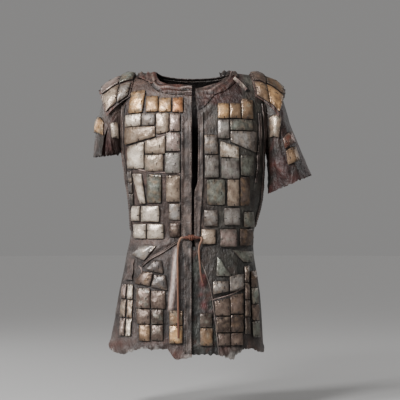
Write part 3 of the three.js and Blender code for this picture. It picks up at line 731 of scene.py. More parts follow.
@dataclass(frozen=True)
class CapForm(Form):
    """A shoulder cap: u runs from -100 in front to 100 behind, and v from 0 at its root to -120."""

    side: Side
    reach: float = 120
    rise: float = 18
    seat: float = 3.8
    root_x: float = 170
    root_spread: float = 16
    root_drop: float = 70
    half_depth: float = 90
    tip_x: float = 282
    tip_bend: float = 26
    tip_z: float = -50
    tip_drop: float = 86

    def plain(self, u: Grid, v: Grid) -> Grid:
        """Points of the cap without its waves.

        Args:
            u: hundredths across.
            v: the way down, below zero.

        Returns:
            The points.
        """
        u, v = pair(u, v)
        place, out = u / 100, -v / self.reach
        far = np.abs(place)
        root_z = -0.5 - self.root_drop * far**1.5
        turn = TORSO.turn_at(self.side * (self.root_x + self.root_spread * far), root_z, place > 0)
        root = TORSO.point(turn, root_z) + TORSO.normal(turn, root_z) * self.seat
        seam, away = armhole(self.side, np.where(place > 0, 360 - 80 * far, 80 * far + 0.01))
        middle = seam + away * mix(self.rise, 1.6 * self.rise, far)[..., None]
        tip = np.stack([
            self.side * (self.tip_x - self.tip_bend * far**2), RIDGE_Y + self.half_depth * place,
            self.tip_z - self.tip_drop * far**1.6,
        ], -1)
        out = out[..., None]
        return root * (1 - out) ** 2 + middle * 2 * out * (1 - out) + tip * out**2

    def point(self, u: Grid, v: Grid) -> Grid:
        """Points of the cap with soft waves."""
        wave = 0.8 * ripple(u, v, 44, 21 + self.side) * smooth(-v / 40)
        return self.plain(u, v) + self.normal(u, v) * wave[..., None]

    def normal(self, u: Grid, v: Grid) -> Grid:
        """Outward directions of the cap."""
        across = self.plain(u + 1, v) - self.plain(u - 1, v)
        return unit(np.cross(self.plain(u, v - 1) - self.plain(u, v + 1), across) * self.side)


def quads(index: Grid) -> Grid:
    """The corners of each face of a grid of point numbers."""
    return np.stack([index[:-1, :-1], index[1:, :-1], index[1:, 1:], index[:-1, 1:]], -1).reshape(-1, 4)


class Skin:
    """Points, faces and painted values that gather into one mesh."""

    def __init__(self) -> None:
        """Starts empty."""
        self.points: list[Grid] = []
        self.faces: list[list[int]] = []
        self.paint: list[Grid] = []
        self.count = 0

    def add(self, points: Grid, faces: list, tone: Grid, wear: Grid = 0.0, grime: Grid = 0.0) -> None:
        """Adds a closed form.

        Args:
            points: its points.
            faces: its faces, counted from its own first point.
            tone: one colour, or one for each point.
            wear: its wear and painted highlight at each point, from 0 to 1.
            grime: its dirt and painted shade at each point, from 0 to 1.
        """
        flat = points.reshape(-1, 3)
        size = len(flat)
        self.points.append(flat)
        self.faces.extend([[corner + self.count for corner in face] for face in faces])
        self.paint.append(np.concatenate([
            np.broadcast_to(np.asarray(tone, float).reshape(-1, 3), (size, 3)),
            np.broadcast_to(np.asarray(wear, float).reshape(-1, 1), (size, 1)),
            np.broadcast_to(np.asarray(grime, float).reshape(-1, 1), (size, 1)),
        ], 1))
        self.count += size

    def wall(self, outer: Grid, inner: Grid, tone: Grid, wear: Grid = 0.0, grime: Grid = 0.0,
             wraps: bool = False, inside: Tone = Tone.SHADOW) -> None:
        """Adds a closed wall between an outer and an inner grid of points.

        Args:
            outer: the outer points, in rows and columns.
            inner: the inner points, in the same rows and columns.
            tone: one colour, or one for each outer point.
            wear: its wear and painted highlight at each outer point.
            grime: its dirt and painted shade at each outer point.
            wraps: true where the last column joins the first.
            inside: the tone of the inner side.
        """
        rows, columns = outer.shape[:2]
        size = rows * columns
        index = np.arange(size).reshape(rows, columns)
        if wraps:
            index = np.concatenate([index, index[:, :1]], 1)
        rims = [index[0], index[-1, ::-1]]
        if not wraps:
            rims += [index[::-1, 0], index[:, -1]]
        rims = [np.stack([rim[:-1], rim[1:], rim[1:] + size, rim[:-1] + size], -1) for rim in rims]
        faces = np.concatenate([quads(index), quads(index)[:, ::-1] + size, *rims])
        points = np.concatenate([outer.reshape(-1, 3), inner.reshape(-1, 3)])
        a, b, c, d = (points[faces[:, k]] for k in range(4))
        if np.sum(a * np.cross(b, c)) + np.sum(a * np.cross(c, d)) < 0:
            faces = faces[:, ::-1]

        def both(value: Grid, within: Grid, shape: tuple[int, ...]) -> Grid:
            """The outer points' values, and after them the inner side's one value."""
            face = np.broadcast_to(np.asarray(value, float), shape).reshape(size, -1)
            return np.concatenate([face, np.broadcast_to(within, face.shape)])

        flat = (rows, columns)
        # the inner side is painted in the inside tone, by default the shadow tone, and darkened a little
        # more as painted shade
        colours = both(tone, inside.linear, (*flat, 3))
        self.add(points, faces.tolist(), colours, both(wear, 0, flat), both(grime, 0.3, flat))

    def tube(self, path: Grid, radius: Grid, tone: Grid, up: Grid, sides: int = 8, flat: float = 1.0,
             wear: Grid = 0.3, grime: Grid = 0.2) -> None:
        """Adds a closed tube along a path.

        Args:
            path: the points of its centre line.
            radius: its half width, one number or one for each point.
            tone: one colour, or one for each point of the path.
            up: the direction of its thickness, one or one for each point.
            sides: how many sides it has.
            flat: its thickness as a share of its width.
            wear: its wear and painted highlight.
            grime: its dirt and painted shade.
        """
        count = len(path)
        run = unit(np.gradient(path, axis=0))
        across = unit(np.cross(run, np.broadcast_to(up, path.shape)))
        rise = np.cross(across, run)
        wide = np.broadcast_to(radius, count)[:, None, None]
        turn = np.linspace(0, 2 * math.pi, sides, endpoint=False)[None, :, None]
        ring = across[:, None] * np.cos(turn) * wide + rise[:, None] * np.sin(turn) * wide * flat
        index = np.arange(count * sides).reshape(count, sides)
        faces = quads(np.concatenate([index, index[:, :1]], 1))[:, [0, 3, 2, 1]].tolist()
        faces += [index[0, ::-1].tolist(), index[-1].tolist()]
        colours = np.broadcast_to(np.asarray(tone, float).reshape(-1, 1, 3), (count, sides, 3))
        self.add(path[:, None] + ring, faces, colours, wear, grime)

    def bead(self, place: Grid, up: Grid, radius: float, height: float, tone: Grid) -> None:
        """Adds a small round bead or a dark hole's plug.

        Args:
            place: the middle of its foot.
            up: the way it stands.
            radius: its half width.
            height: how high it stands.
            tone: its colour.
        """
        rise = np.linspace(-0.6, 0.98, 5)[:, None] * height
        size = radius * np.sqrt(1 - np.linspace(-0.5, 0.95, 5) ** 2)
        side = np.array([0.3, 0.2, 1.0])
        self.tube(place + up * rise, size, tone, side, sides=8, wear=0.5, grime=0.1)

    def build(self, name: str, finish: "Finish", sharp: float = 60) -> bpy.types.Object:
        """Makes the mesh and its object.

        Args:
            name: the object's name.
            finish: what it is made of.
            sharp: faces that meet at more than this many degrees keep a sharp edge.

        Returns:
            The object, riding on the frame's one body.
        """
        mesh = bpy.data.meshes.new(name)
        mesh.from_pydata((np.concatenate(self.points) * MM).tolist(), [], self.faces)
        paint = np.concatenate(self.paint)
        tone = mesh.attributes.new("tone", "FLOAT_COLOR", "POINT")
        tone.data.foreach_set("color", np.concatenate([paint[:, :3], np.ones((len(paint), 1))], 1).ravel())
        # wear holds wear and painted highlights, grime holds dirt and painted shade
        for column, word in ((3, "wear"), (4, "grime")):
            layer = mesh.attributes.new(word, "FLOAT", "POINT")
            layer.data.foreach_set("value", np.clip(paint[:, column], 0, 1).astype(np.float32))
        mesh.shade_smooth()
        mesh.set_sharp_from_angle(angle=math.radians(sharp))
        mesh.materials.append(finish.material())
        piece = bpy.data.objects.new(name, mesh)
        bpy.context.scene.collection.objects.link(piece)
        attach(piece, "root")
        LOG.info("%s: %d faces", name, len(self.faces))
        return piece


class Value:
    """A socket in an expression: an operator on it adds a Math node."""

    def __init__(self, tree: bpy.types.NodeTree, socket: bpy.types.NodeSocket) -> None:
        """Wraps a node's output."""
        self.tree = tree
        self.socket = socket

    def math(self, operation: str, other: "Value | float", flipped: bool = False) -> "Value":
        """Adds a Math node.

        Args:
            operation: what the node does.
            other: the second operand.
            flipped: true where the other operand comes first.

        Returns:
            The node's result.
        """
        node = self.tree.nodes.new("ShaderNodeMath")
        node.operation = operation
        operands = (other, self) if flipped else (self, other)
        for slot, operand in zip(node.inputs, operands):
            if isinstance(operand, Value):
                self.tree.links.new(operand.socket, slot)
            else:
                slot.default_value = operand
        return Value(self.tree, node.outputs[0])

    def __add__(self, other: "Value | float") -> "Value":
        """Sum."""
        return self.math("ADD", other)

    def __radd__(self, other: float) -> "Value":
        """Sum with a number first."""
        return self.math("ADD", other, True)

    def __sub__(self, other: "Value | float") -> "Value":
        """Difference."""
        return self.math("SUBTRACT", other)

    def __rsub__(self, other: float) -> "Value":
        """Difference from a number."""
        return self.math("SUBTRACT", other, True)

    def __mul__(self, other: "Value | float") -> "Value":
        """Product."""
        return self.math("MULTIPLY", other)

    def __rmul__(self, other: float) -> "Value":
        """Product with a number first."""
        return self.math("MULTIPLY", other, True)


class Shading:
    """The node tree of one material."""

    def __init__(self, name: str) -> None:
        """Makes the material and finds its shader.

        Args:
            name: the material's name.
        """
        self.material = bpy.data.materials.new(name)
        self.material.use_nodes = True
        self.tree = self.material.node_tree
        self.shader = self.tree.nodes["Principled BSDF"]
        self.place = self.node("ShaderNodeTexCoord", output="Object")

    def node(self, kind: str, settings: dict | None = None, inputs: dict | None = None,
             output: str | int = 0) -> Value:
        """Adds a node.

        Args:
            kind: the node's type.
            settings: its properties, set before its sockets.
            inputs: values or links for its sockets, by name or place.
            output: the socket that the expression goes on with.

        Returns:
            The chosen output.
        """
        node = self.tree.nodes.new(kind)
        for key, value in (settings or {}).items():
            setattr(node, key, value)
        for key, value in (inputs or {}).items():
            if isinstance(value, Value):
                self.tree.links.new(value.socket, node.inputs[key])
            else:
                node.inputs[key].default_value = value
        return Value(self.tree, node.outputs[output])

    def attribute(self, name: str) -> Value:
        """A painted number of the mesh."""
        return self.node("ShaderNodeAttribute", {"attribute_name": name}, output="Fac")

    def tone(self) -> Value:
        """The painted colour of the mesh."""
        return self.node("ShaderNodeAttribute", {"attribute_name": "tone"}, output="Color")

    def noise(self, scale: float, detail: float, stretch: Colour | None = None, warp: float = 0) -> Value:
        """Cloudy noise over the object.

        Args:
            scale: waves in a metre.
            detail: how many finer layers it has.
            stretch: how much denser it is along each axis.
            warp: how much it bends.

        Returns:
            Numbers around 0.5.
        """
        place = self.place
        if stretch:
            place = self.node("ShaderNodeMapping", None, {"Vector": place, "Scale": stretch})
        inputs = {"Vector": place, "Scale": scale, "Detail": detail, "Distortion": warp}
        return self.node("ShaderNodeTexNoise", None, inputs, "Fac")

    def step(self, value: Value, low: float, high: float) -> Value:
        """A soft step from 0 at low to 1 at high."""
        settings = {"interpolation_type": "SMOOTHSTEP"}
        return self.node("ShaderNodeMapRange", settings, {0: value, 1: low, 2: high, 3: 0.0, 4: 1.0})

    def mix(self, factor: Value, low: Value | Colour, high: Colour, way: str = "MIX") -> Value:
        """A mix of two colours.

        Args:
            factor: the share of the second.
            low: the first colour.
            high: the second colour.
            way: the mix's kind.

        Returns:
            The mixed colour.
        """
        low = low if isinstance(low, Value) else (*low, 1.0)
        settings = {"data_type": "RGBA", "blend_type": way}
        return self.node("ShaderNodeMix", settings, {0: factor, 6: low, 7: (*high, 1.0)}, 2)

    def multiplied(self, factor: Value, colour: Value, by: Colour) -> Value:
        """A colour that is multiplied by another where factor is 1."""
        return self.mix(factor, colour, by, "MULTIPLY")

    def finish(self, colour: Value, roughness: Value, height: Value, distance: float) -> bpy.types.Material:
        """Joins the surface to the shader.

        Args:
            colour: the base colour.
            roughness: the roughness.
            height: the relief for the bump.
            distance: how deep the relief is, in metres.

        Returns:
            The material.
        """
        bump = self.node("ShaderNodeBump", None, {"Strength": 1.0, "Distance": distance, "Height": height})
        links = (("Base Color", colour), ("Roughness", roughness), ("Normal", bump))
        for key, value in links:
            self.tree.links.new(value.socket, self.shader.inputs[key])
        return self.material


class Finish:
    """A finish that makes its material once."""

    slot: str
    made: dict[str, bpy.types.Material] = {}

    def material(self) -> bpy.types.Material:
        """The finish's material.

        Returns:
            The one material that all its pieces share.
        """
        if self.slot not in Finish.made:
            Finish.made[self.slot] = self.paint(Shading(self.slot))
        return Finish.made[self.slot]

    def paint(self, shading: Shading) -> bpy.types.Material:
        """Makes the material's nodes."""
        raise NotImplementedError


@dataclass(frozen=True)
class LeatherFinish(Finish):
    """Old dyed leather, darkened by dirt and painted shade in its troughs, and pale from wear and painted
    highlights on its ridges.
    """

    slot: str
    stain: Tone
    rubbed: Tone
    red: float = 0.12
    rough: float = 0.42

    def paint(self, shading: Shading) -> bpy.types.Material:
        """Makes the leather's nodes.

        Args:
            shading: the empty material.

        Returns:
            The material.
        """
        cloud = shading.noise(16, 6, warp=0.6)
        mottle = shading.noise(70, 5)
        streak = shading.noise(26, 5, stretch=(4.5, 4.5, 0.55), warp=0.3)
        grain = shading.noise(620, 3)
        wrinkle = shading.noise(120, 4, stretch=(1.0, 1.0, 0.5), warp=1.2)
        wear, grime = shading.attribute("wear"), shading.attribute("grime")
        clouded = shading.step(cloud, 0.38, 0.64) * 0.85
        base = shading.multiplied(clouded, shading.tone(), (0.28, 0.25, 0.25))
        base = shading.multiplied(shading.step(mottle, 0.42, 0.7) * 0.6, base, (1.9, 1.78, 1.72))
        reds = shading.step(shading.noise(21, 5, warp=0.8), 0.52, 0.7) * self.red
        base = shading.mix(reds, base, self.stain.linear)
        # rubbed: pale where the leather is worn and where highlights are painted
        rubbed = shading.step(wear + (streak - 0.5) * 0.7, 0.42, 0.95)
        base = shading.mix(rubbed * 0.6, base, self.rubbed.linear)
        # dirty_and_shaded: dark where the leather is dirty and where shade is painted
        dirty_and_shaded = shading.step(grime + (mottle - 0.5) * 0.5, 0.2, 0.95)
        base = shading.mix(dirty_and_shaded * 0.85, base, Tone.SHADOW.linear)
        roughness = self.rough - 0.04 + cloud * 0.3 - rubbed * 0.18
        height = grain * 0.16 + wrinkle * 1.0 + mottle * 0.7 + streak * 0.9
        return shading.finish(base, roughness, height, 0.0032)


@dataclass(frozen=True)
class PlateFinish(Finish):
    """A hammered plate under old paint, with worn paint and painted highlights on its high spots, painted
    shade at its edges and dents, and dark pits.
    """

    slot: str
    metal: float
    high: Tone

    def paint(self, shading: Shading) -> bpy.types.Material:
        """Makes the plate's nodes.

        Args:
            shading: the empty material.

        Returns:
            The material.
        """
        patina = shading.noise(27, 6, warp=0.7)
        fleck = shading.noise(190, 5)
        brush = shading.noise(60, 5, stretch=(3.0, 3.0, 0.7), warp=0.4)
        beaten = shading.noise(85, 2)
        pits = shading.step(shading.noise(330, 2), 0.62, 0.72)
        wear, grime = shading.attribute("wear"), shading.attribute("grime")
        shade = shading.step(patina, 0.38, 0.66)
        base = shading.multiplied(shade * 0.75, shading.tone(), (0.4, 0.36, 0.34))
        base = shading.multiplied(shading.step(fleck, 0.45, 0.72) * 0.7, base, (0.5, 0.46, 0.42))
        # worn_highlight: worn paint and painted highlights on the plate's crown, raised dents and rim crest
        worn_highlight = shading.step(wear + (brush - 0.5) * 0.8 + (fleck - 0.5) * 0.35, 0.45, 1.0)
        base = shading.mix(worn_highlight * 0.22, base, self.high.linear)
        base = shading.multiplied(worn_highlight, base, (1.4, 1.36, 1.28))
        base = shading.mix(pits * 0.6, base, Tone.EARTH.linear)
        # dirty_and_shaded: dirt and painted shade at the plate's edges and in its dents
        dirty_and_shaded = shading.step(grime + (patina - 0.5) * 0.6, 0.25, 0.9)
        base = shading.mix(dirty_and_shaded * 0.9, base, Tone.SHADOW.linear)
        roughness = 0.29 + shade * 0.16 + dirty_and_shaded * 0.25 - worn_highlight * 0.08
        shading.shader.inputs["Metallic"].default_value = self.metal
        height = beaten * 0.7 + fleck * 0.35 + brush * 0.35 - pits * 0.25
        return shading.finish(base, roughness, height, 0.0019)


@dataclass(frozen=True)
class ThongFinish(Finish):
    """Raw thong leather with fibres along it."""

    slot: str

    def paint(self, shading: Shading) -> bpy.types.Material:
        """Makes the thong's nodes.

        Args:
            shading: the empty material.

        Returns:
            The material.
        """
        fibre = shading.noise(240, 4, stretch=(2.0, 2.0, 0.25))
        cloud = shading.noise(60, 5)
        grime = shading.attribute("grime")
        base = shading.multiplied(shading.step(fibre, 0.35, 0.7) * 0.6, shading.tone(), (0.5, 0.42, 0.38))
        dirty_and_shaded = shading.step(grime + (cloud - 0.5) * 0.8, 0.3, 1.0)
        base = shading.mix(dirty_and_shaded * 0.8, base, Tone.THREAD.linear)
        return shading.finish(base, 0.62 + cloud * 0.2, fibre * 0.6 + cloud * 0.4, 0.0008)


LEATHER_FINISH = LeatherFinish("leather", Tone.RUST, Tone.PEWTER)
RED_LEATHER = LeatherFinish("red_leather", Tone.RUST, Tone.ROSE, red=0.4)
GREY_LEATHER = LeatherFinish("grey_leather", Tone.UMBER, Tone.ROSE, red=0.3)
GOLD_PLATES = PlateFinish("bronze_plate", 0.42, Tone.CREAM)
GREY_PLATES = PlateFinish("pewter_plate", 0.5, Tone.CREAM)
THONG_LEATHER = ThongFinish("thong")


@dataclass(frozen=True)
class Plate:
    """One plate in the two coordinates of the surface that carries it."""

    left: float
    right: float
    top: float
    bottom: float
    tone: Tone
    lean: float = 0
    tilt_top: float = 0
    tilt_bottom: float = 0
    flare: float = 0

    def place(self, s: Grid, t: Grid) -> tuple[Grid, Grid]:
        """The coordinates at a share across and down the plate.

        Args:
            s: the share from the left edge to the right one.
            t: the share from the top edge to the bottom one.

        Returns:
            The two coordinates.
        """
        left = self.left + (self.lean - self.flare) * t
        right = self.right + (self.lean + self.flare) * t
        tilt = mix(self.tilt_top, self.tilt_bottom, t)
        return left + (right - left) * s, mix(self.top, self.bottom, t) + tilt * (s - 0.5)

    def distance(self, u: Grid, v: Grid) -> Grid:
        """How far points lie outside the plate, roughly.

        Args:
            u: the first coordinate.
            v: the second coordinate.

        Returns:
            A distance for each point, 0 inside.
        """
        t = np.clip((self.top - v) / (self.top - self.bottom), 0, 1)
        left, _ = self.place(0, t)
        right, _ = self.place(1, t)
        share = np.clip((u - left) / np.maximum(right - left, 1), 0, 1)
        tilt = mix(self.tilt_top, self.tilt_bottom, t) * (share - 0.5)
        beside = np.maximum(np.maximum(left - u, u - right), 0)
        beyond = np.maximum(np.maximum(v - tilt - self.top, self.bottom - v + tilt), 0)
        return np.hypot(beside, beyond)


@dataclass(frozen=True)
class PlateLine:
    """A line of plates that stands for one node."""

    node: str
    plates: tuple[Plate, ...]
    finish: PlateFinish = GREY_PLATES
    lift: float = SEAT


# for each line of plates: left, right, top, bottom, tone, lean, tilt of the top and the bottom edge, flare
FRONT_PLATES = {
    "front_right_a": (
        (-181, -140, -58, -123, Tone.GOLD, -8), (-197, -152, -129, -163, Tone.CREAM),
        (-198, -110, -168, -208, Tone.SAND, 0, 0, 22), (-190, -143, -220, -290, Tone.CREAM, 0, 12),
        (-176, -150, -308, -394, Tone.CREAM, 18, 0, 0, -5), (-178, -155, -404, -446, Tone.CREAM),
        (-171, -137, -458, -500, Tone.CREAM),
    ),
    "front_right_b_top": (
        (-136, -102, -78, -123, Tone.GOLD), (-148, -111, -128, -163, Tone.PEWTER),
    ),
    "front_right_b": (
        (-139, -80, -204, -247, Tone.SAND, 0, 15), (-139, -86, -252, -298, Tone.SAND),
        (-133, -92, -310, -392, Tone.MOSS), (-151, -98, -404, -448, Tone.CREAM),
        (-133, -85, -458, -500, Tone.CREAM),
    ),
    "front_right_c": (
        (-98, -64, -84, -124, Tone.GOLD), (-106, -70, -129, -186, Tone.SAND, 0, 0, 8),
    ),
    "front_right_d": (
        (-57, -28, -84, -126, Tone.AMBER), (-66, -37, -131, -181, Tone.ROSE),
        (-76, -37, -187, -239, Tone.ROSE), (-79, -37, -248, -304, Tone.PEWTER),
        (-76, -37, -314, -389, Tone.SAND), (-69, -37, -398, -443, Tone.PEWTER),
        (-67, -37, -455, -494, Tone.MAUVE),
    ),
    "side_right": (
        (-191, -180, -300, -330, Tone.SLATE, 1), (-189, -178, -334, -364, Tone.SLATE, 1),
        (-186, -176, -368, -398, Tone.SLATE, 2),
    ),
    "hip_right": (
        (-148, -106, -522, -557, Tone.PEWTER, -33, -2, -16, -4),
    ),
    "skirt_right_a": (
        (-149, -117, -601, -637, Tone.UMBER, -14.5, -6, -6, 6.5), (-165, -125, -649, -706, Tone.UMBER),
        (-163, -125, -711, -752, Tone.UMBER), (-157, -125, -757, -802, Tone.BRONZE),
    ),
    "skirt_right_b": (
        (-118, -90, -566.5, -598.5, Tone.SLATE, -6, 1, -11, 10),
        (-112, -78, -609, -648, Tone.SLATE, -2, 0, -8, 6), (-121, -79, -656, -706, Tone.UMBER),
        (-120, -87, -711, -752, Tone.EARTH), (-120, -87, -757, -800, Tone.UMBER),
    ),
    "skirt_right_c": (
        (-190, -177, -640, -680, Tone.CREAM, -1), (-191, -178, -685, -735, Tone.SAND, -2),
        (-194, -181, -740, -790, Tone.CREAM, -2),
    ),
    "skirt_right_d": (
        (-206, -195, -640, -680, Tone.ROSE, -2), (-208, -196, -685, -735, Tone.SAND, -3),
        (-211, -199, -740, -790, Tone.ROSE, -3),
    ),
    "vent_right": (
        (-67, -30, -714, -754, Tone.BRONZE), (-67, -30, -759, -808, Tone.GOLD),
    ),
    "front_left_a": (
        (36, 74, -194, -248, Tone.PEWTER), (38, 77, -254, -317, Tone.PEWTER),
        (44, 95, -326, -398, Tone.MOSS), (35, 74, -416, -461, Tone.PEWTER), (27, 68, -473, -516, Tone.SAND),
    ),
    "front_left_b": (
        (76, 108, -100, -143, Tone.GOLD), (76, 108, -149, -202, Tone.PEWTER),
        (83, 136, -221, -258, Tone.CREAM, 0, -16, -4), (86, 137, -263, -320, Tone.PEWTER),
        (104, 137, -326, -401, Tone.SAND), (95, 140, -410, -458, Tone.PEWTER),
        (83, 131, -473, -524, Tone.ROSE),
    ),
    "front_left_c": (
        (112, 142, -100, -142, Tone.BRONZE), (113, 176, -147, -177, Tone.MOSS),
        (113, 188, -182, -228, Tone.PEWTER, 0, 0, -30), (143, 179, -254, -311, Tone.MOSS),
        (142, 168, -318, -401, Tone.EARTH), (152, 182, -422, -464, Tone.MOSS),
        (141, 178, -472, -521, Tone.EARTH),
    ),
    "front_left_d": (
        (146, 178, -85, -142, Tone.BRONZE),
    ),
    "skirt_left_a": (
        (73, 79, -556, -611, Tone.MOSS, 16, 0, 0, 17), (62, 106, -628, -660, Tone.PEWTER, 0, 0, 8),
        (66, 109, -682, -727, Tone.UMBER, 2, 8), (71, 110, -733, -776, Tone.EARTH),
        (77, 111, -782, -815, Tone.UMBER),
    ),
    "skirt_left_b": (
        (111, 151, -610, -654, Tone.PEWTER, 0, 6, 8), (113, 149, -668, -722, Tone.UMBER, 0, 6),
        (114, 149, -728, -776, Tone.EARTH), (115, 147, -782, -815, Tone.UMBER),
    ),
    "skirt_left_c": (
        (119, 180, -539, -570, Tone.MOSS, 14, -6, 0, -16), (154, 166, -584, -630, Tone.EARTH),
        (155, 168, -635, -681, Tone.UMBER), (155, 169, -686, -732, Tone.EARTH),
        (155, 170, -737, -783, Tone.EARTH),
    ),
    "skirt_left_d": (
        (172, 185, -600, -645, Tone.EARTH, 2), (174, 188, -650, -695, Tone.MOSS, 2),
        (175, 191, -700, -745, Tone.UMBER, 2), (177, 194, -750, -795, Tone.MOSS, 2),
    ),
}
GOLD_LINES = ("front_right_a", "front_right_b_top", "front_right_c", "vent_right")
LINE_LIFTS = {
    "front_right_a": 2 * SEAT, "hip_right": 2 * SEAT, "vent_right": 2 * SEAT, "skirt_left_c": 1.5 * SEAT,
}
FRONT_LINES = tuple(
    PlateLine(f"plates_{name}", tuple(Plate(*row) for row in rows),
              GOLD_PLATES if name in GOLD_LINES else GREY_PLATES, LINE_LIFTS.get(name, SEAT))
    for name, rows in FRONT_PLATES.items()
)
LAP_DEPTH = 5
VENT_LINE = PlateLine("plates_vent_left", (
    Plate(24, 58, -722, -761, Tone.EARTH),
    Plate(24, 60, -766, -815, Tone.BRONZE),
), GOLD_PLATES, SEAT - LEATHER - LAP_DEPTH)
# how far each column of plates on the back stands off
BACK_SEATS = (2.1, 1.8, 1.2, 1.1, 1.8, 2.1)
# the first plate's top, how many, their pitch and height
BACK_BANDS = ((-64, 6, 58, 52), (-414, 2, 47, 41), (-562, 4, 61, 54))
BACK_TONES = (Tone.SAND, Tone.PEWTER, Tone.UMBER, Tone.ROSE, Tone.MOSS, Tone.SAND, Tone.BRONZE)
BACK_PITCH = 64
BACK_PLATE = 54
# place on the cap, left, right, top and bottom of its plates
CAP_ROWS = (
    ("front", ((-94, -54, -10, -56), (-92, -50, -62, -114))),
    ("top", ((-46, -2, -8, -60), (-44, -4, -66, -114))),
    ("back", ((8, 66, -10, -58), (8, 64, -64, -112))),
)
CAP_TONES = {
    Side.RIGHT: (Tone.PEWTER, Tone.SAND, Tone.MOSS, Tone.ROSE, Tone.PEWTER, Tone.SAND),
    Side.LEFT: (Tone.BRONZE, Tone.GOLD, Tone.UMBER, Tone.BRONZE, Tone.SAND, Tone.BRONZE),
}


def back_lines() -> tuple[PlateLine, ...]:
    """The six even columns of plates on the back.

    Returns:
        A line of plates for each column.
    """
    lines = []
    for number, letter in enumerate("abcdef"):
        middle = BACK_PITCH * (number - 2.5)
        plates = []
        for top_row, count, pitch, height in BACK_BANDS:
            for i in range(count):
                top = top_row - i * pitch - 4 * math.sin(number * 2.1)
                spread = float(TORSO.half(top) / TORSO.half(UNDERARM))
                half = spread * (BACK_PLATE / 2 - 2 + 2 * math.sin(number * 3 + i * 1.7))
                centre = float(TORSO.centre(top)) + middle * spread * 0.96
                tilt = 4 * math.sin(number * 1.3 + i)
                tone = BACK_TONES[(number * 3 + i * 2 + len(plates)) % len(BACK_TONES)]
                plates.append(Plate(centre - half, centre + half, top, top - height, tone, 0, tilt, tilt))
        under_cap = 1 if abs(number - 2.5) > 2 else 0
        lines.append(PlateLine(f"plates_back_{letter}", tuple(plates[under_cap:]), lift=BACK_SEATS[number]))
    return tuple(lines)


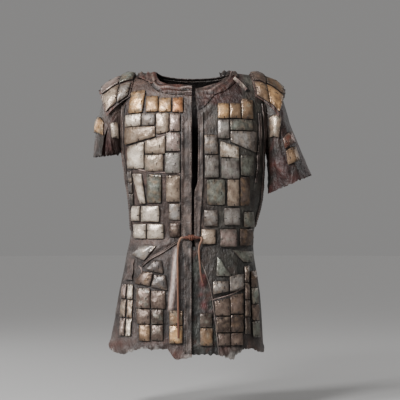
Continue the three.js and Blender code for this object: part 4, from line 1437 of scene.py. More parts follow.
@dataclass
class HammeredPlate:
    """The shape of one plate: a beaten dome with a rolled rim, soft corners and dents."""

    plate: Plate
    form: Form
    lift: float
    seed: int
    rim: float = 2.2
    edge: float = 1.2
    grow_wide: float = 1.3
    grow_high: float = 1.8
    plain_dome: float = 4.6
    waist_dome: float = 6.2
    hole_inset: float = 5.5
    smallest_holed: float = 16
    widest_two_holed: float = 40

    def __post_init__(self) -> None:
        """Measures the plate and picks its dents."""
        line = np.linspace(0, 1, 9)
        half = np.full(9, 0.5)
        wide, high = self.length(line, half), self.length(half, line)
        self.wide, self.high = wide + 2 * self.grow_wide, high + 2 * self.grow_high
        self.stretch_wide, self.stretch_high = self.wide / wide, self.high / high
        rng = np.random.default_rng(self.seed)
        waist = WAIST_ROWS[0] < self.plate.top < WAIST_ROWS[1] and abs(self.plate.left) < 200
        self.waist = waist and not isinstance(self.form, OnSleeve)
        self.dome = (self.waist_dome if self.waist else self.plain_dome) + rng.uniform(-0.3, 0.9)
        self.dents = rng.uniform((0.1, 0.1, 4, -0.45), (0.9, 0.9, 9, 0.3), (6, 4))
        self.lean = rng.uniform(-0.9, 0.6)
        self.kick = rng.uniform(0.6, 2.0)
        self.shade = rng.uniform(0.86, 1.14)
        self.stain = (Tone.BRONZE, Tone.MOSS, Tone.SAND)[int(rng.integers(3))]
        self.stained = rng.uniform(0.15, 0.6)
        self.marks = rng.uniform(-0.12, 0.12, 4)

    def length(self, s: Grid, t: Grid) -> float:
        """The real length of a line across the plate."""
        return float(reach_along(self.form.point(*self.plate.place(s, t)))[-1])

    def steps(self, size: float) -> Grid:
        """Shares across the plate, close together near both rims.

        Args:
            size: the plate's real size that way.

        Returns:
            The shares, from 0 to 1.
        """
        rim = np.array([0, 0.35, 1.0, 2.0, 3.3]) * min(1, size / 16)
        count = max(int((size - 2 * rim[-1]) / 3.4), 2)
        inner = np.linspace(rim[-1], size - rim[-1], count + 1)[1:-1]
        return np.concatenate([rim, inner, size - rim[::-1]]) / size

    def rounded(self, away: Grid) -> Grid:
        """The quarter round of the rim at a distance from the edge."""
        rim = self.rim * min(1, self.wide / 20)
        return np.sqrt(1 - (1 - np.clip(away / rim, 0, 1)) ** 2)

    def height(self, s: Grid, t: Grid) -> tuple[Grid, Grid, Grid]:
        """The plate's relief.

        Args:
            s: the share across.
            t: the share down.

        Returns:
            The height over the plate's back, its wear and painted highlight, and its dirt and painted
            shade.
        """
        beside = np.minimum(s, 1 - s) * self.wide
        beyond = np.minimum(t, 1 - t) * self.high
        body = self.rounded(beside) * self.rounded(beyond)
        a, b = 2 * s - 1, 2 * t - 1
        crown = np.clip((1 - a * a) * (1 - b * b), 0, 1) ** 0.75
        dents = 0.3 * ripple(s * self.wide, t * self.high, 17, self.seed)
        for place_s, place_t, size, depth in self.dents:
            away = ((s - place_s) * self.wide) ** 2 + ((t - place_t) * self.high) ** 2
            dents = dents + depth * np.exp(-away / size**2)
        tipped = self.lean * a + self.kick * t + 0.9
        top = self.edge + (PLATE - self.edge) * body + (self.dome * crown + dents) * body + tipped
        inside = np.minimum(beside, beyond)
        # wear and painted highlight: lighter on the crown, on raised dents and on the crest of the rolled
        # rim
        crest = hump(inside - 2.2, 1.1)
        wear = 0.1 + 0.42 * crown + 0.3 * dents + 0.4 * crest
        # painted shade at the very edge and in sunken dents; also a darker ring just inside the rim
        ring = hump(inside - 5.2, 2.4)
        grime = 0.8 * np.exp(-inside / 0.8) + 0.22 * ring - 0.5 * dents * body + 0.04
        return top, wear, grime

    def shaped(self, s: Grid, t: Grid) -> tuple[Grid, Grid]:
        """Coordinates with soft corners and an uneven outline.

        Args:
            s: the share across.
            t: the share down.

        Returns:
            The two coordinates on the surface that carries the plate.
        """
        a, b = 2 * s - 1, 2 * t - 1
        pull = 1 - 0.045 * (np.abs(a) * np.abs(b)) ** 5
        waver_s = 0.5 / self.wide * ripple(t * self.high, a * 9, 23, self.seed + 1) * np.abs(a) ** 3
        waver_t = 0.5 / self.high * ripple(s * self.wide, b * 9, 23, self.seed + 2) * np.abs(b) ** 3
        across, down = a / 2 * pull * self.stretch_wide, b / 2 * pull * self.stretch_high
        return self.plate.place(0.5 + across + waver_s, 0.5 + down + waver_t)

    def surface(self, s: Grid, t: Grid) -> Grid:
        """Points of the plate's face."""
        u, v = self.shaped(s, t)
        return self.form.laid(u, v, self.lift + self.height(s, t)[0])

    def add_to(self, skin: Skin) -> None:
        """Adds the plate to a mesh.

        Args:
            skin: the mesh that gathers it.
        """
        t, s = np.meshgrid(self.steps(self.high), self.steps(self.wide), indexing="ij")
        u, v = self.shaped(s, t)
        top, wear, grime = self.height(s, t)
        under = np.maximum(self.lean * (2 * s - 1) + self.kick * t + 0.9, 0) * 0.6
        face = self.form.laid(u, v, self.lift + top)
        back = self.form.laid(u, v, self.lift + under)
        patch = 0.5 + 0.5 * ripple(s * self.wide, t * self.high, 34, self.seed + 3)
        rust = 0.5 + 0.5 * ripple(s * self.wide, t * self.high, 22, self.seed + 4)
        rim = 1 - np.clip((1 - (2 * s - 1) ** 2) * (1 - (2 * t - 1) ** 2) * 1.6, 0, 1)
        # painted shade: the tone goes towards umber at the plate's edges, on top of the paint's own random
        # patches
        tone = blend(self.plate.tone.linear * self.shade, Tone.UMBER.linear * 0.85, patch * 0.3 + rim * 0.4)
        tone = blend(tone, self.stain.linear, np.clip(rust * 1.6 - 0.75, 0, 1) * self.stained)
        # painted highlight: lighter in the middle of each pillow
        tone = tone * (0.84 + 0.42 * (1 - rim) ** 2)[..., None]
        skin.wall(face, back, tone, wear, grime, inside=Tone.SHADOW)

    def add_marks(self, marks: Skin) -> None:
        """Adds the plate's holes and its short lacing threads.

        Args:
            marks: the mesh that gathers them.
        """
        if min(self.wide, self.high) < self.smallest_holed:
            return
        near, below = self.hole_inset / self.wide, self.hole_inset / self.high
        spots = [(0.5, below, (0, -1)), (0.5, 1 - below, (0, 1))]
        if self.waist:
            spots = [(near, 0.5, (-1, 0)), (1 - near, 0.5, (1, 0))]
        elif self.wide > self.widest_two_holed:
            spots += [(0.24, 1.3 * below, (0, -1)), (0.78, 0.5, (0, 1))]
        reach = np.linspace(0, 1.3 * self.hole_inset, 6)
        lines = []
        for (s, t, way), nudge in zip(spots, self.marks):
            s, t = (s, t + nudge) if self.waist else (s + nudge, t)
            lines.append((s + way[0] * reach / self.wide, t + way[1] * reach / self.high))
        line_s, line_t = np.clip(np.array(lines).transpose(1, 0, 2), 0.01, 0.99)
        out = self.form.normal(*self.plate.place(line_s, line_t))
        for thread, up in zip(self.surface(line_s, line_t), out):
            # each hole is a bead painted in the shadow tone
            marks.bead(thread[0] - 0.4 * up[0], up[0], 2.0, 1.1, Tone.SHADOW.linear * 0.3)
            marks.tube(thread + up * 0.25, 0.9, Tone.THREAD.linear * 0.5, up, sides=6)


def front_of(name: str) -> str:
    """The front that carries a piece, by the side in its name."""
    return "front_right_leather" if "right" in name else "front_left_leather"


def declare(piece: bpy.types.Object, worn: Grid, held: Held, on: list[str], wraps: bool = False) -> None:
    """Measures a piece of leather as laid flat and logs the size that it was cut to.

    Args:
        piece: the piece.
        worn: its plain worn surface, as a grid of points, which is measured.
        held: how it is held; not used.
        on: the pieces that it lies on; not used.
        wraps: true for a tube, which is measured all round.
    """
    if wraps:
        worn = np.concatenate([worn, worn[:, :1]], 1)
    down, across = np.diff(worn, axis=0), np.diff(worn, axis=1)
    widths = np.linalg.norm(across, axis=2).sum(1)
    width, length = widths.max() * MM, np.linalg.norm(down, axis=2).sum(0).max() * MM
    area = np.linalg.norm(np.cross(down[:, :-1], across[:-1]), axis=2).sum() * MM * MM
    if area < SLIM_SHARE * width * length:
        width = widths.mean() * MM
    area = min(area, width * length)
    LOG.info("%s: flat %.3f x %.3f m, %.4f m2", piece.name, width, length, area)


@dataclass
class Leather:
    """A piece of leather that stands for a node: its two faces and their paint."""

    node: str
    outer: Grid
    inner: Grid
    tone: Grid
    wear: Grid
    grime: Grid
    finish: LeatherFinish = LEATHER_FINISH
    wraps: bool = False
    inside: Tone = Tone.SHADOW

    def build(self, worn: Grid | None, held: Held = Held.HUNG, carried: bool = True) -> None:
        """Args:
            worn: its plain surface, or None where it is too narrow to measure.
            held: how it is held.
            carried: true where it lies on a front.
        """
        skin = Skin()
        skin.wall(self.outer, self.inner, self.tone, self.wear, self.grime, self.wraps, self.inside)
        piece = skin.build(f"{self.node}_leather", self.finish)
        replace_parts(piece, self.node)
        if worn is not None:
            declare(piece, worn, held, [front_of(self.node)] if carried else [], self.wraps)


def contact(lines: Sequence[PlateLine], u: Grid, v: Grid) -> Grid:
    """Painted shade beside plates, where they stand off the leather, from 0 to 1.

    Args:
        lines: the lines of plates.
        u: the first coordinate.
        v: the second coordinate.

    Returns:
        A share for each point.
    """
    nearest = np.full(np.shape(u), 50.0)
    for line in lines:
        for plate in line.plates:
            nearest = np.minimum(nearest, plate.distance(u, v))
    return hump(nearest, 4.2)


@dataclass
class TunicBody:
    """The fronts, the back and the inner skirt panel."""

    spacing: float = 4.2
    spaced_at_turn: float = 24
    spaced_at_height: float = -250
    fray: float = 2.2
    curl: float = 3.0
    arm_free: float = 26
    open_free: float = 52
    lap_sides: tuple[float, float] = (-4, 98)
    lap_ends: tuple[float, float] = (-524, -847)
    stains: Rows = ((31, -634, 9), (33, -612, 5), (34, -696, 9), (26, -664, 5), (44, -744, 9))
    stain_red: Colour = (0.17, 0.03, 0.03)
    back_plates: tuple[PlateLine, ...] = field(default_factory=back_lines)

    def hem(self, turn: Grid) -> Grid:
        """The frayed hem's height at a turn.

        Args:
            turn: degrees round the body.

        Returns:
            A height for each turn.
        """
        wrapped = np.where(turn > 180, turn - 360, turn)
        ragged = ripple(wrapped * 4, wrapped * 0, 15, 31) + 0.6 * ripple(wrapped * 4, wrapped * 0, 5, 32)
        return Profile(HEMLINE)(wrapped) + self.fray * ragged

    def height(self, label: Grid, turn: Grid, neck: Rows) -> Grid:
        """The height of a row, which follows the neck at its top and the hem at its foot.

        Args:
            label: the row's level.
            turn: degrees round the body.
            neck: the neck edge.

        Returns:
            A height for each point.
        """
        x = TORSO.point(turn, np.full(np.shape(turn), float(CHEST)))[..., 0]
        top = np.where(np.abs(x) < NECK_POINT, Profile(neck)(x), 0)
        upper = CHEST + (label - CHEST) * (top - CHEST) / -CHEST
        lower = SKIRT_TOP + (label - SKIRT_TOP) * (self.hem(turn) - SKIRT_TOP) / (HEM - SKIRT_TOP)
        return np.where(label > CHEST, upper, np.where(label < SKIRT_TOP, lower, label + 0 * x))

    def turn(self, base: Grid, label: Grid) -> Grid:
        """The turn of a column, which gives way to the armhole.

        Args:
            base: the column's own turn.
            label: the row's level.

        Returns:
            A turn for each point.
        """
        edge = Profile(ARMHOLE)(label)
        share = (edge - self.arm_free) / (90 - self.arm_free)
        return np.where(base <= self.arm_free, base, self.arm_free + (base - self.arm_free) * share)

    def labels(self) -> Grid:
        """The rows' levels, evenly apart over the surface.

        Returns:
            A column of levels.
        """
        levels = HEM * np.linspace(0, 1, 900) ** 1.6
        points = TORSO.point(np.full(len(levels), self.spaced_at_turn), levels)
        return even_steps(levels, points, self.spacing)[:, None]

    def columns(self, start: float, end: float) -> Grid:
        """The columns' turns, evenly apart round the body.

        Args:
            start: the first turn.
            end: the last turn.

        Returns:
            A row of turns.
        """
        turns = np.linspace(start, end, 1200)
        points = TORSO.point(turns, np.full(len(turns), self.spaced_at_height))
        return even_steps(turns, points, self.spacing)[None, :]

    def ditches(self, turn: Grid, x: Grid, height: Grid) -> Grid:
        """Painted shade in the ditches beside the strips and the bands along the front edges.

        Args:
            turn: degrees round the body.
            x: sideways places.
            height: levels.

        Returns:
            A share for each point.
        """
        dirt = np.zeros(x.shape)
        for _, rows, width in STRIPS:
            beside = hump(np.abs(turn - Profile(rows)(height)) - width / 2 - 0.4, 1.1)
            dirt += beside * ((height < rows[0][0] + 4) & (height > rows[-1][0] - 4))
        right = hump(x - Profile(PLACKET_RIGHT)(height) + 1, 3) * ((x < 0) & (height < PLACKET_RIGHT_TOP))
        left = hump(x - Profile(PLACKET_LEFT)(height) - 1, 3) * ((x > 0) & (height > PLACKET_LEFT_FOOT))
        return dirt + right + left

    def dyed(self, x: Grid, height: Grid, back: bool) -> Grid:
        """Colours of the leather, lighter and mauve on the right, darker and greener on the left; the
        darkening on the left is painted shade.

        Args:
            x: sideways places.
            height: levels.
            back: true for the back.

        Returns:
            A tone for each point.
        """
        front = 0 if back else 1
        # painted shade: the front darkens towards the left, the side that faces away from the light
        across = 0.6 * smooth((x + 60) / 150) if not back else 0.45 + 0.3 * ripple(x, height, 160, 41)
        tone = blend(Tone.MAUVE.linear, Tone.DUSK.linear, across) * 0.92
        green = 0.5 * smooth((x - 20) / 60) * smooth((x + 40) / 200)
        green = green * (1 - 0.5 * smooth((-700 - height) / 90))
        tone = blend(tone, Tone.MOSS.linear * 0.45, green if not back else 0.2 * across)
        # painted highlight: a lighter band along the waist on the right front
        waist_highlight = hump(height + 512, 13) * smooth((-50 - x) / 30) * front
        tone = tone * skirt_shade(height) * (1 + waist_highlight)[..., None]
        dye = blend(Tone.ROSE.linear * 0.55, Tone.RUST.linear * 0.8, 0.5 + 0.5 * ripple(x, height, 50, 43))
        tone = blend(tone, dye, smooth((-745 - height) / 80) * (0.35 + 0.3 * ripple(x, height, 70, 42)))
        yoke = smooth((x - 40) / 25) * smooth((160 - x) / 20) * smooth((height + 112) / 14) * front
        return blend(tone, Tone.WINE.linear * 0.8, yoke * 0.85)

    def painted(self, turn: Grid, x: Grid, height: Grid, relief: Grid, back: bool) -> tuple[Grid, ...]:
        """The paint: pale on the skirt's sharp ridge as a painted highlight, pale on creases from wear and
        painted highlight, and dark beside what lies on the leather as painted shade.

        Args:
            turn: degrees round the body.
            x: sideways places.
            height: levels.
            relief: how far creases lift each point.
            back: true for the back.

        Returns:
            The tones, the wear and painted highlight, and the dirt and painted shade.
        """
        # painted highlight: a pale band on the skirt's sharp ridge
        ridge = 0 if back else FRONT_CREASES[0].relief(x, height) / FRONT_CREASES[0].height
        tone = blend(self.dyed(x, height, back), Tone.ROSE.linear * 1.75, np.clip(ridge * 1.3, 0, 1) * 0.9)
        # wear and painted highlight: less towards the skirt and on the left, more on crease crests and on
        # the ridge
        wear = 0.21 * skirt_shade(height)[..., 0] - 0.06 * smooth(x / 80)
        wear = wear + np.clip(relief / 7, 0, 0.4) + 0.4 * ridge
        lines = self.back_plates if back else FRONT_LINES
        # painted shade beside the plates, in crease troughs and towards the sides
        grime = 0.72 * contact(lines, x, height) + np.clip(-relief / 4, 0, 0.55)
        grime = grime + 0.3 * smooth((np.abs(x) - 160) / 60)
        # more painted shade in the ditches beside the strips and the plackets, on the front
        return tone, wear, grime + (0 if back else 0.8 * self.ditches(turn, x, height))

    def panel(self, name: str, turn: Grid, height: Grid, shift: float, back: bool) -> None:
        """Builds one panel.

        Args:
            name: the node that it stands for.
            turn: the turn of each point.
            height: the height of each point.
            shift: how far it is moved to part it from its neighbour.
            back: true for the back.
        """
        turn, height = pair(turn, height)
        relief = WORN.relief(turn, height)
        over_hem = height - self.hem(turn)
        relief = relief + self.curl * hump(over_hem, 9) * (0.4 + ripple(turn * 4, height, 60, 33))
        plain, normal = TORSO.point(turn, height), TORSO.normal(turn, height)
        move = np.array([0, shift, 0])
        outer = plain + normal * relief[..., None] + move
        inner = outer - normal * LEATHER
        tone, wear, grime = self.painted(turn, plain[..., 0], height, relief, back)
        # wear and painted highlight along the hem's edge
        wear = wear + 0.3 * np.exp(-over_hem / 4)
        Leather(name, outer, inner, tone, wear, grime).build(plain, carried=False)

    def front(self, side: Side) -> None:
        """Builds a front panel.

        Args:
            side: the wearer's side.
        """
        neck = NECK_LEFT if side is Side.LEFT else NECK_RIGHT
        label, base = pair(self.labels(), self.columns(0, 90))
        level = self.height(label, side * base, neck)
        edge = Profile(FRONT_EDGE_LEFT)(level) if side is Side.LEFT else -1 + 0 * level
        start = side * TORSO.turn_at(edge, level)
        spread = start + base * (self.open_free - start) / self.open_free
        opened = np.where(base < self.open_free, spread, base)
        height = self.height(label, side * np.maximum(base, 0.3), neck)
        self.panel(f"front_{side.word}", side * self.turn(opened, label), height, -SEAM, False)

    def rear(self) -> None:
        """Builds the back panel."""
        label, base = pair(self.labels(), self.columns(90, 270))
        turn = 180 + np.sign(base - 180) * self.turn(np.abs(base - 180), label)
        self.panel("back", turn, self.height(label, base, NECK_BACK), SEAM, True)

    def underlap(self) -> None:
        """Builds the inner skirt panel behind the left front's open edge, with its red stains."""
        rows = np.arange(*self.lap_ends, -self.spacing)
        z, x = np.meshgrid(rows, np.linspace(*self.lap_sides, 26), indexing="ij")
        behind = LEATHER + mix(0.5, LAP_DEPTH, smooth((-530 - z) / 100))
        waves = 0.8 * ripple(x * 1.5, z, 40, 51)
        ragged = z + 3 * smooth((-820 - z) / 26) * ripple(x, x * 0, 16, 52)
        outer = FRONT.laid(x, ragged, waves - behind)
        inner = FRONT.laid(x, ragged, waves - behind - LEATHER)
        # painted shade: the set-back panel is painted very dark
        tone = blend(Tone.DUSK.linear * 0.5, Tone.MOSS.linear * 0.2, 0.5 + 0.5 * ripple(x, z, 60, 53))
        for spot_x, spot_z, size in self.stains:
            red = np.exp(-(((x - spot_x) / size) ** 2 + ((z - spot_z) / (1.5 * size)) ** 2))
            tone = blend(tone, np.array(self.stain_red), red * 0.75)
        # dirt and painted shade, with painted contact shade beside the vent plates
        grime = 0.25 + 0.6 * contact((VENT_LINE,), x, z)
        Leather("underlap_left", outer, inner, tone, 0.15, grime, RED_LEATHER).build(outer)

    def build(self) -> None:
        """Builds the body's panels."""
        self.front(Side.RIGHT)
        self.front(Side.LEFT)
        self.rear()
        self.underlap()


@dataclass
class Collars:
    """The soft wrinkled bands round the neck."""

    width: float = 30
    gather: float = 34
    stand: float = 5
    seat: float = 1.8
    fold_pitch: float = 12
    fold_height: float = 2.6

    def band(self, node: str, form: Face, neck: Rows, gather: float, tones: tuple[Tone, Tone]) -> None:
        """Builds one band.

        Args:
            node: the node that it stands for.
            form: the surface that carries it.
            neck: the neck edge that it follows.
            gather: how much wider it is at its first end.
            tones: its colours along its neck side and its free side.
        """
        line = smooth_path(neck, 0.5)
        count = int(0.5 * len(line) / 3.2)
        s = np.linspace(0.01, 0.99, count)[:, None]
        row, ticks = s[:, 0] * (len(line) - 1), np.arange(len(line))
        edge = places(row, ticks, line)
        run = places(row, ticks, unit(np.gradient(line, axis=0)))
        share = np.linspace(0, 1, 34)[None, :]
        across = share * (self.width + gather * smooth(1 - 2.2 * s))
        reach = across - self.stand
        u = edge[:, :1] + run[:, 1:] * reach
        v = np.minimum(edge[:, 1:] - run[:, :1] * reach, -0.4)
        length = len(line) * 0.5 * s
        drift = 0.35 * ripple(length, share * 20, 90, 61 + len(neck))
        folds = np.sin(2 * math.pi * (across / self.fold_pitch + drift * 1.7))
        uneven = np.clip(0.7 + 0.5 * ripple(length, share * 30, 60, 62), 0.15, 1.2)
        fold_depth = self.fold_height * smooth(share * 6) * smooth((1 - share) * 6) * uneven
        thick = Profile(COLLAR_PROFILE)(share) + fold_depth * folds
        thick = thick + 0.4 * ripple(length * 1.5, share * 40, 14, 63)
        over = self.seat + np.maximum(thick, 0.8)
        tone = blend(tones[0].linear, tones[1].linear, share + 0.35 * ripple(length, share * 30, 60, 64))
        # painted highlight: rose on the fold crests, over the darkened tone
        crest = np.clip(0.5 + 0.5 * folds, 0, 1)
        tone = blend(tone * 0.55, Tone.ROSE.linear, crest**3 * uneven * 0.4)
        outer, inner = form.laid(u, v, over), form.laid(u, v, self.seat - 0.5)
        # wear and painted highlight on the crests, painted shade in the troughs
        wear, grime = 0.1 + 0.55 * crest**2 * uneven, 0.85 * (1 - crest) ** 2 * uneven
        piece = Leather(node, outer, inner, tone, wear, grime, RED_LEATHER)
        piece.build(form.laid(u, v, self.seat), Held.GATHERED, carried=False)

    def build(self) -> None:
        """Builds the three bands."""
        self.band("collar_right", FRONT, NECK_RIGHT, 0, (Tone.RUST, Tone.DUSK))
        self.band("collar_left", FRONT, NECK_LEFT, self.gather, (Tone.MAUVE, Tone.WINE))
        self.band("collar_back", BACK, NECK_BACK, 0, (Tone.RUST, Tone.DUSK))


@dataclass(frozen=True)
class Scrap:
    """A crumpled scrap of leather sewn on near the neck, along a line over the front."""

    name: str
    line: Route
    width: float
    lift: float
    wave: float
    tones: tuple[Tone, Tone]
    seed: int
    wall: float = 1.4

    def build(self) -> None:
        """Builds the scrap."""
        path = smooth_path(self.line, 2.2)
        run = unit(np.gradient(path, axis=0))
        across = np.linspace(-0.5, 0.5, 15)[None, :]
        along = np.linspace(0, 1, len(path))[:, None]
        torn = 1 + 0.04 * self.wave * ripple(along * 60, across * 6, 13, self.seed)
        reach = across * self.width * torn * (0.8 + 0.2 * np.sin(math.pi * along))
        u = path[:, :1] - run[:, 1:] * reach
        v = np.minimum(path[:, 1:] + run[:, :1] * reach, -0.5)
        crumple = ripple(u * 1.2, v, 22, self.seed + 1) + 0.35 * ripple(u, v, 11, self.seed + 2)
        over = np.maximum(self.lift + self.wave * crumple, 2.4)
        outer, inner = FRONT.laid(u, v, over + self.wall), FRONT.laid(u, v, over)
        patches = 0.5 + 0.5 * ripple(u, v, 20, self.seed + 3)
        tone = blend(self.tones[0].linear, self.tones[1].linear, patches)
        skin = Skin()
        # wear and painted highlight on the crumples' crests, painted shade in their hollows
        skin.wall(outer, inner, tone, 0.12 + 0.16 * crumple, np.clip(0.35 - 0.5 * crumple, 0, 1))
        declare(skin.build(self.name, RED_LEATHER), outer, Held.GATHERED, [front_of(self.name)])


SCRAPS = (
    Scrap("shoulder_scrap_right", ((-166, -6), (-148, -12), (-130, -20), (-114, -36)), 25, 6, 2.6,
          (Tone.WINE, Tone.UMBER), 91),
    Scrap("shoulder_scrap_left", ((82, -14), (98, -10), (116, -8), (134, -12)), 16, 6, 2.4,
          (Tone.DUSK, Tone.EARTH), 92),
    Scrap("shoulder_tab_left", ((124, -26), (142, -42), (158, -58)), 11, 7.5, 0.5,
          (Tone.CREAM, Tone.ROSE), 93),
)


@dataclass
class Bands:
    """The plackets, the seam strips, the waist edge and the hip flap."""

    narrow_columns: int = 8
    edge_width: float = 7
    flap_top: float = -562
    flap_length: float = 62
    flap_sides: tuple[float, float] = (-190, -172)
    placket_right_foot: float = -840
    placket_left_top: float = -126
    stitches: Skin = field(default_factory=Skin)

    def lay(self, node: str, form: Form, u: Grid, v: Grid, tone: Tone, roll: float) -> None:
        """Lays a band with rolled edges on a surface.

        Args:
            node: the node that it stands for.
            form: the surface that carries it.
            u: the first coordinate of its grid.
            v: the second coordinate of its grid.
            tone: its colour.
            roll: how high its edges are rolled.
        """
        u, v = pair(u, v)
        share = np.linspace(-1, 1, u.shape[1])[None, :]
        rolled = roll * hump(np.abs(share) - 0.78, 0.2)
        waver = 0.5 * ripple(share * 18, v / 6, 16, 71) + 0.3 * ripple(u, v, 30, 72)
        over = SEAT + STRAP + rolled + waver * (1 - share**4)
        outer = form.laid(u, v, over)
        inner = form.laid(u, v, np.full(u.shape, SEAT * 0.5))
        colour = blend(tone.linear, Tone.MAUVE.linear * 0.7, 0.4 + 0.4 * ripple(share * 30, v, 90, 73))
        # painted shade towards the skirt, and light and dark streaks painted for the band's folds
        colour = colour * skirt_shade(v) * (1 + 0.4 * ripple(share * 26, v, 60, 74))[..., None]
        # wear and painted highlight on the rolled edges and raised waves, painted shade between the rolled
        # edges
        wear, grime = 0.25 + rolled * 0.3 + 0.3 * waver, 0.3 * (1 - rolled / roll)
        wide = u.shape[1] > self.narrow_columns
        piece = Leather(node, outer, inner, colour, wear, grime, GREY_LEATHER)
        piece.build(outer if wide else None, Held.STRETCHED)
        if wide:
            for side in (1, -2):
                self.sew(outer[:, side], form.normal(u[:, side], v[:, side]))

    def sew(self, line: Grid, out: Grid, pitch: float = 7.5, length: float = 4.2) -> None:
        """Sews a row of small stitches.

        Args:
            line: the points of the sewn line.
            out: the outward direction at each point.
            pitch: the distance between stitches.
            length: the length of a stitch.
        """
        reach = reach_along(line)
        for start in np.arange(4, reach[-1] - length - 2, pitch):
            spots = np.linspace(start, start + length, 4)
            path, up = places(spots, reach, line), places(spots, reach, out)
            arch = np.array([-0.1, 0.4, 0.4, -0.1])[:, None]
            self.stitches.tube(path + up * arch, 0.5, Tone.THREAD.linear, up, sides=5)

    def seam_strip(self, node: str, rows: Rows, width: float) -> None:
        """Lays a strip over an armhole or side seam.

        Args:
            node: the node that it stands for.
            rows: its line, in heights and degrees round the body.
            width: its width in degrees.
        """
        z = np.arange(rows[0][0], rows[-1][0], -4.0)[:, None]
        turn = Profile(rows)(z) + np.linspace(-0.5, 0.5, 13)[None, :] * width
        self.lay(node, WORN, turn, z, Tone.ASH, 1.3)

    def placket(self, node: str, top: float, bottom: float, left: Callable, right: Callable) -> None:
        """Lays a band along a front edge.

        Args:
            node: the node that it stands for.
            top: its upper end.
            bottom: its lower end.
            left: its left edge at a height.
            right: its right edge at a height.
        """
        z = np.arange(top, bottom, -4.2)[:, None]
        x = mix(left(z), right(z), np.linspace(0, 1, 13)[None, :])
        self.lay(node, FRONT, x, z, Tone.ASH, 1.0)

    def waist_edge(self) -> None:
        """Lays the narrow rolled edge that slants from the knot to the right hip."""
        line = smooth_path(WAIST_EDGE, 2.5)
        run = unit(np.gradient(line, axis=0))
        place = np.linspace(-0.5, 0.5, 7)[None, :] * self.edge_width
        u = line[:, :1] - run[:, 1:] * place
        v = line[:, 1:] + run[:, :1] * place
        self.lay("waist_edge_right", FRONT, u, v, Tone.ROSE, 2.2)

    def flap(self) -> None:
        """Builds the small loose flap at the right hip."""
        foot = self.flap_top - self.flap_length - 1
        z, s = np.meshgrid(np.arange(self.flap_top, foot, -2.6), np.linspace(0, 1, 9), indexing="ij")
        run = (self.flap_top - z) / self.flap_length
        x = mix(*self.flap_sides, s) - 6 * run + 1.2 * ripple(z, s, 22, 75)
        lift = SEAT + 3.6 * run**1.5 + 1.5 * run * np.sin(3 * s)
        outer, inner = FRONT.laid(x, z, lift + STRAP), FRONT.laid(x, z, lift)
        Leather("flap_right", outer, inner, Tone.MAUVE.linear, 0.35, 0.2).build(outer)

    def build(self) -> None:
        """Builds every band and their stitches."""
        edge = Profile(FRONT_EDGE_LEFT)
        ends = PLACKET_RIGHT_TOP, self.placket_right_foot
        self.placket("placket_right", *ends, Profile(PLACKET_RIGHT), lambda z: -2 + 0 * z)
        ends = self.placket_left_top, PLACKET_LEFT_FOOT
        self.placket("placket_left", *ends, lambda z: edge(z) + 1, Profile(PLACKET_LEFT))
        for node, rows, width in STRIPS:
            self.seam_strip(node, rows, width)
        self.waist_edge()
        self.flap()
        self.stitches.build("band_stitches", THONG_LEATHER)


SLEEVE_CREASES_RIGHT = creases(
    (8, 4, 60, -150, 80, -200, 96, -236), (7, -4, 40, -170, 50, -236),
    (9, 4, 140, -120, 160, -190, 170, -236), (8, -4, 180, -110, 196, -180, 190, -236),
    (7, 3.5, 10, -190, 70, -214, 100, -206), (10, 4, 280, -100, 300, -170, 290, -236),
    (10, -4, 350, -90, 340, -160, 362, -236), (9, 4, 420, -120, 430, -236),
    (6, 3.5, 20, -176, 64, -188, 104, -180), (6, -4, 14, -204, 50, -196, 92, -222),
    (5, 3.5, 30, -226, 70, -216, 108, -228),
)
SLEEVE_CREASES_LEFT = creases(
    (10, 4, 230, -20, 180, -90, 140, -170, 120, -236), (8, -3.5, 210, -40, 160, -130, 170, -230),
    (9, 3, 60, -90, 84, -160, 80, -236), (8, -3, 100, -60, 110, -140, 100, -236),
    (10, 4, 250, -60, 280, -140, 262, -236), (10, -4, 330, -50, 310, -150, 330, -236),
    (10, 3.5, 390, -70, 400, -160, 380, -236), (9, -3, 440, -90, 430, -236),
)
RIGHT_SLEEVE = SleeveForm(Side.RIGHT, SLEEVE_RIGHT, SLEEVE_CREASES_RIGHT)
LEFT_SLEEVE = SleeveForm(Side.LEFT, SLEEVE_LEFT, SLEEVE_CREASES_LEFT)
# line, sleeve, plates as in FRONT_PLATES, finish, lift
SLEEVE_LINES = (
    ("right_outer", RIGHT_SLEEVE, ((14, 66, -52.5, -68.6, Tone.GOLD, 8, 8.4, 9.2, 4),), GOLD_PLATES, 0.9),
    ("right_inner", RIGHT_SLEEVE, (
        (90.5, 100.6, -21.4, -29.1, Tone.CREAM, 22.4, 20.1, 26.6, 3.2),
    ), GREY_PLATES, 1.2),
    ("left_outer", LEFT_SLEEVE, (
        (34, 74, -52, -60.5, Tone.RUST, 3, 6, 5),
        (41, 77, -63.5, -77, Tone.BRONZE, 3.6, 5.4, 4.2, 1.2),
    ), GOLD_PLATES, 1.2),
    ("left_inner", LEFT_SLEEVE, (
        (62.4, 91.8, -18.4, -28.1, Tone.SAND, 24.9, 23.8, 26.2, -0.3),
    ), GREY_PLATES, 1.3),
)


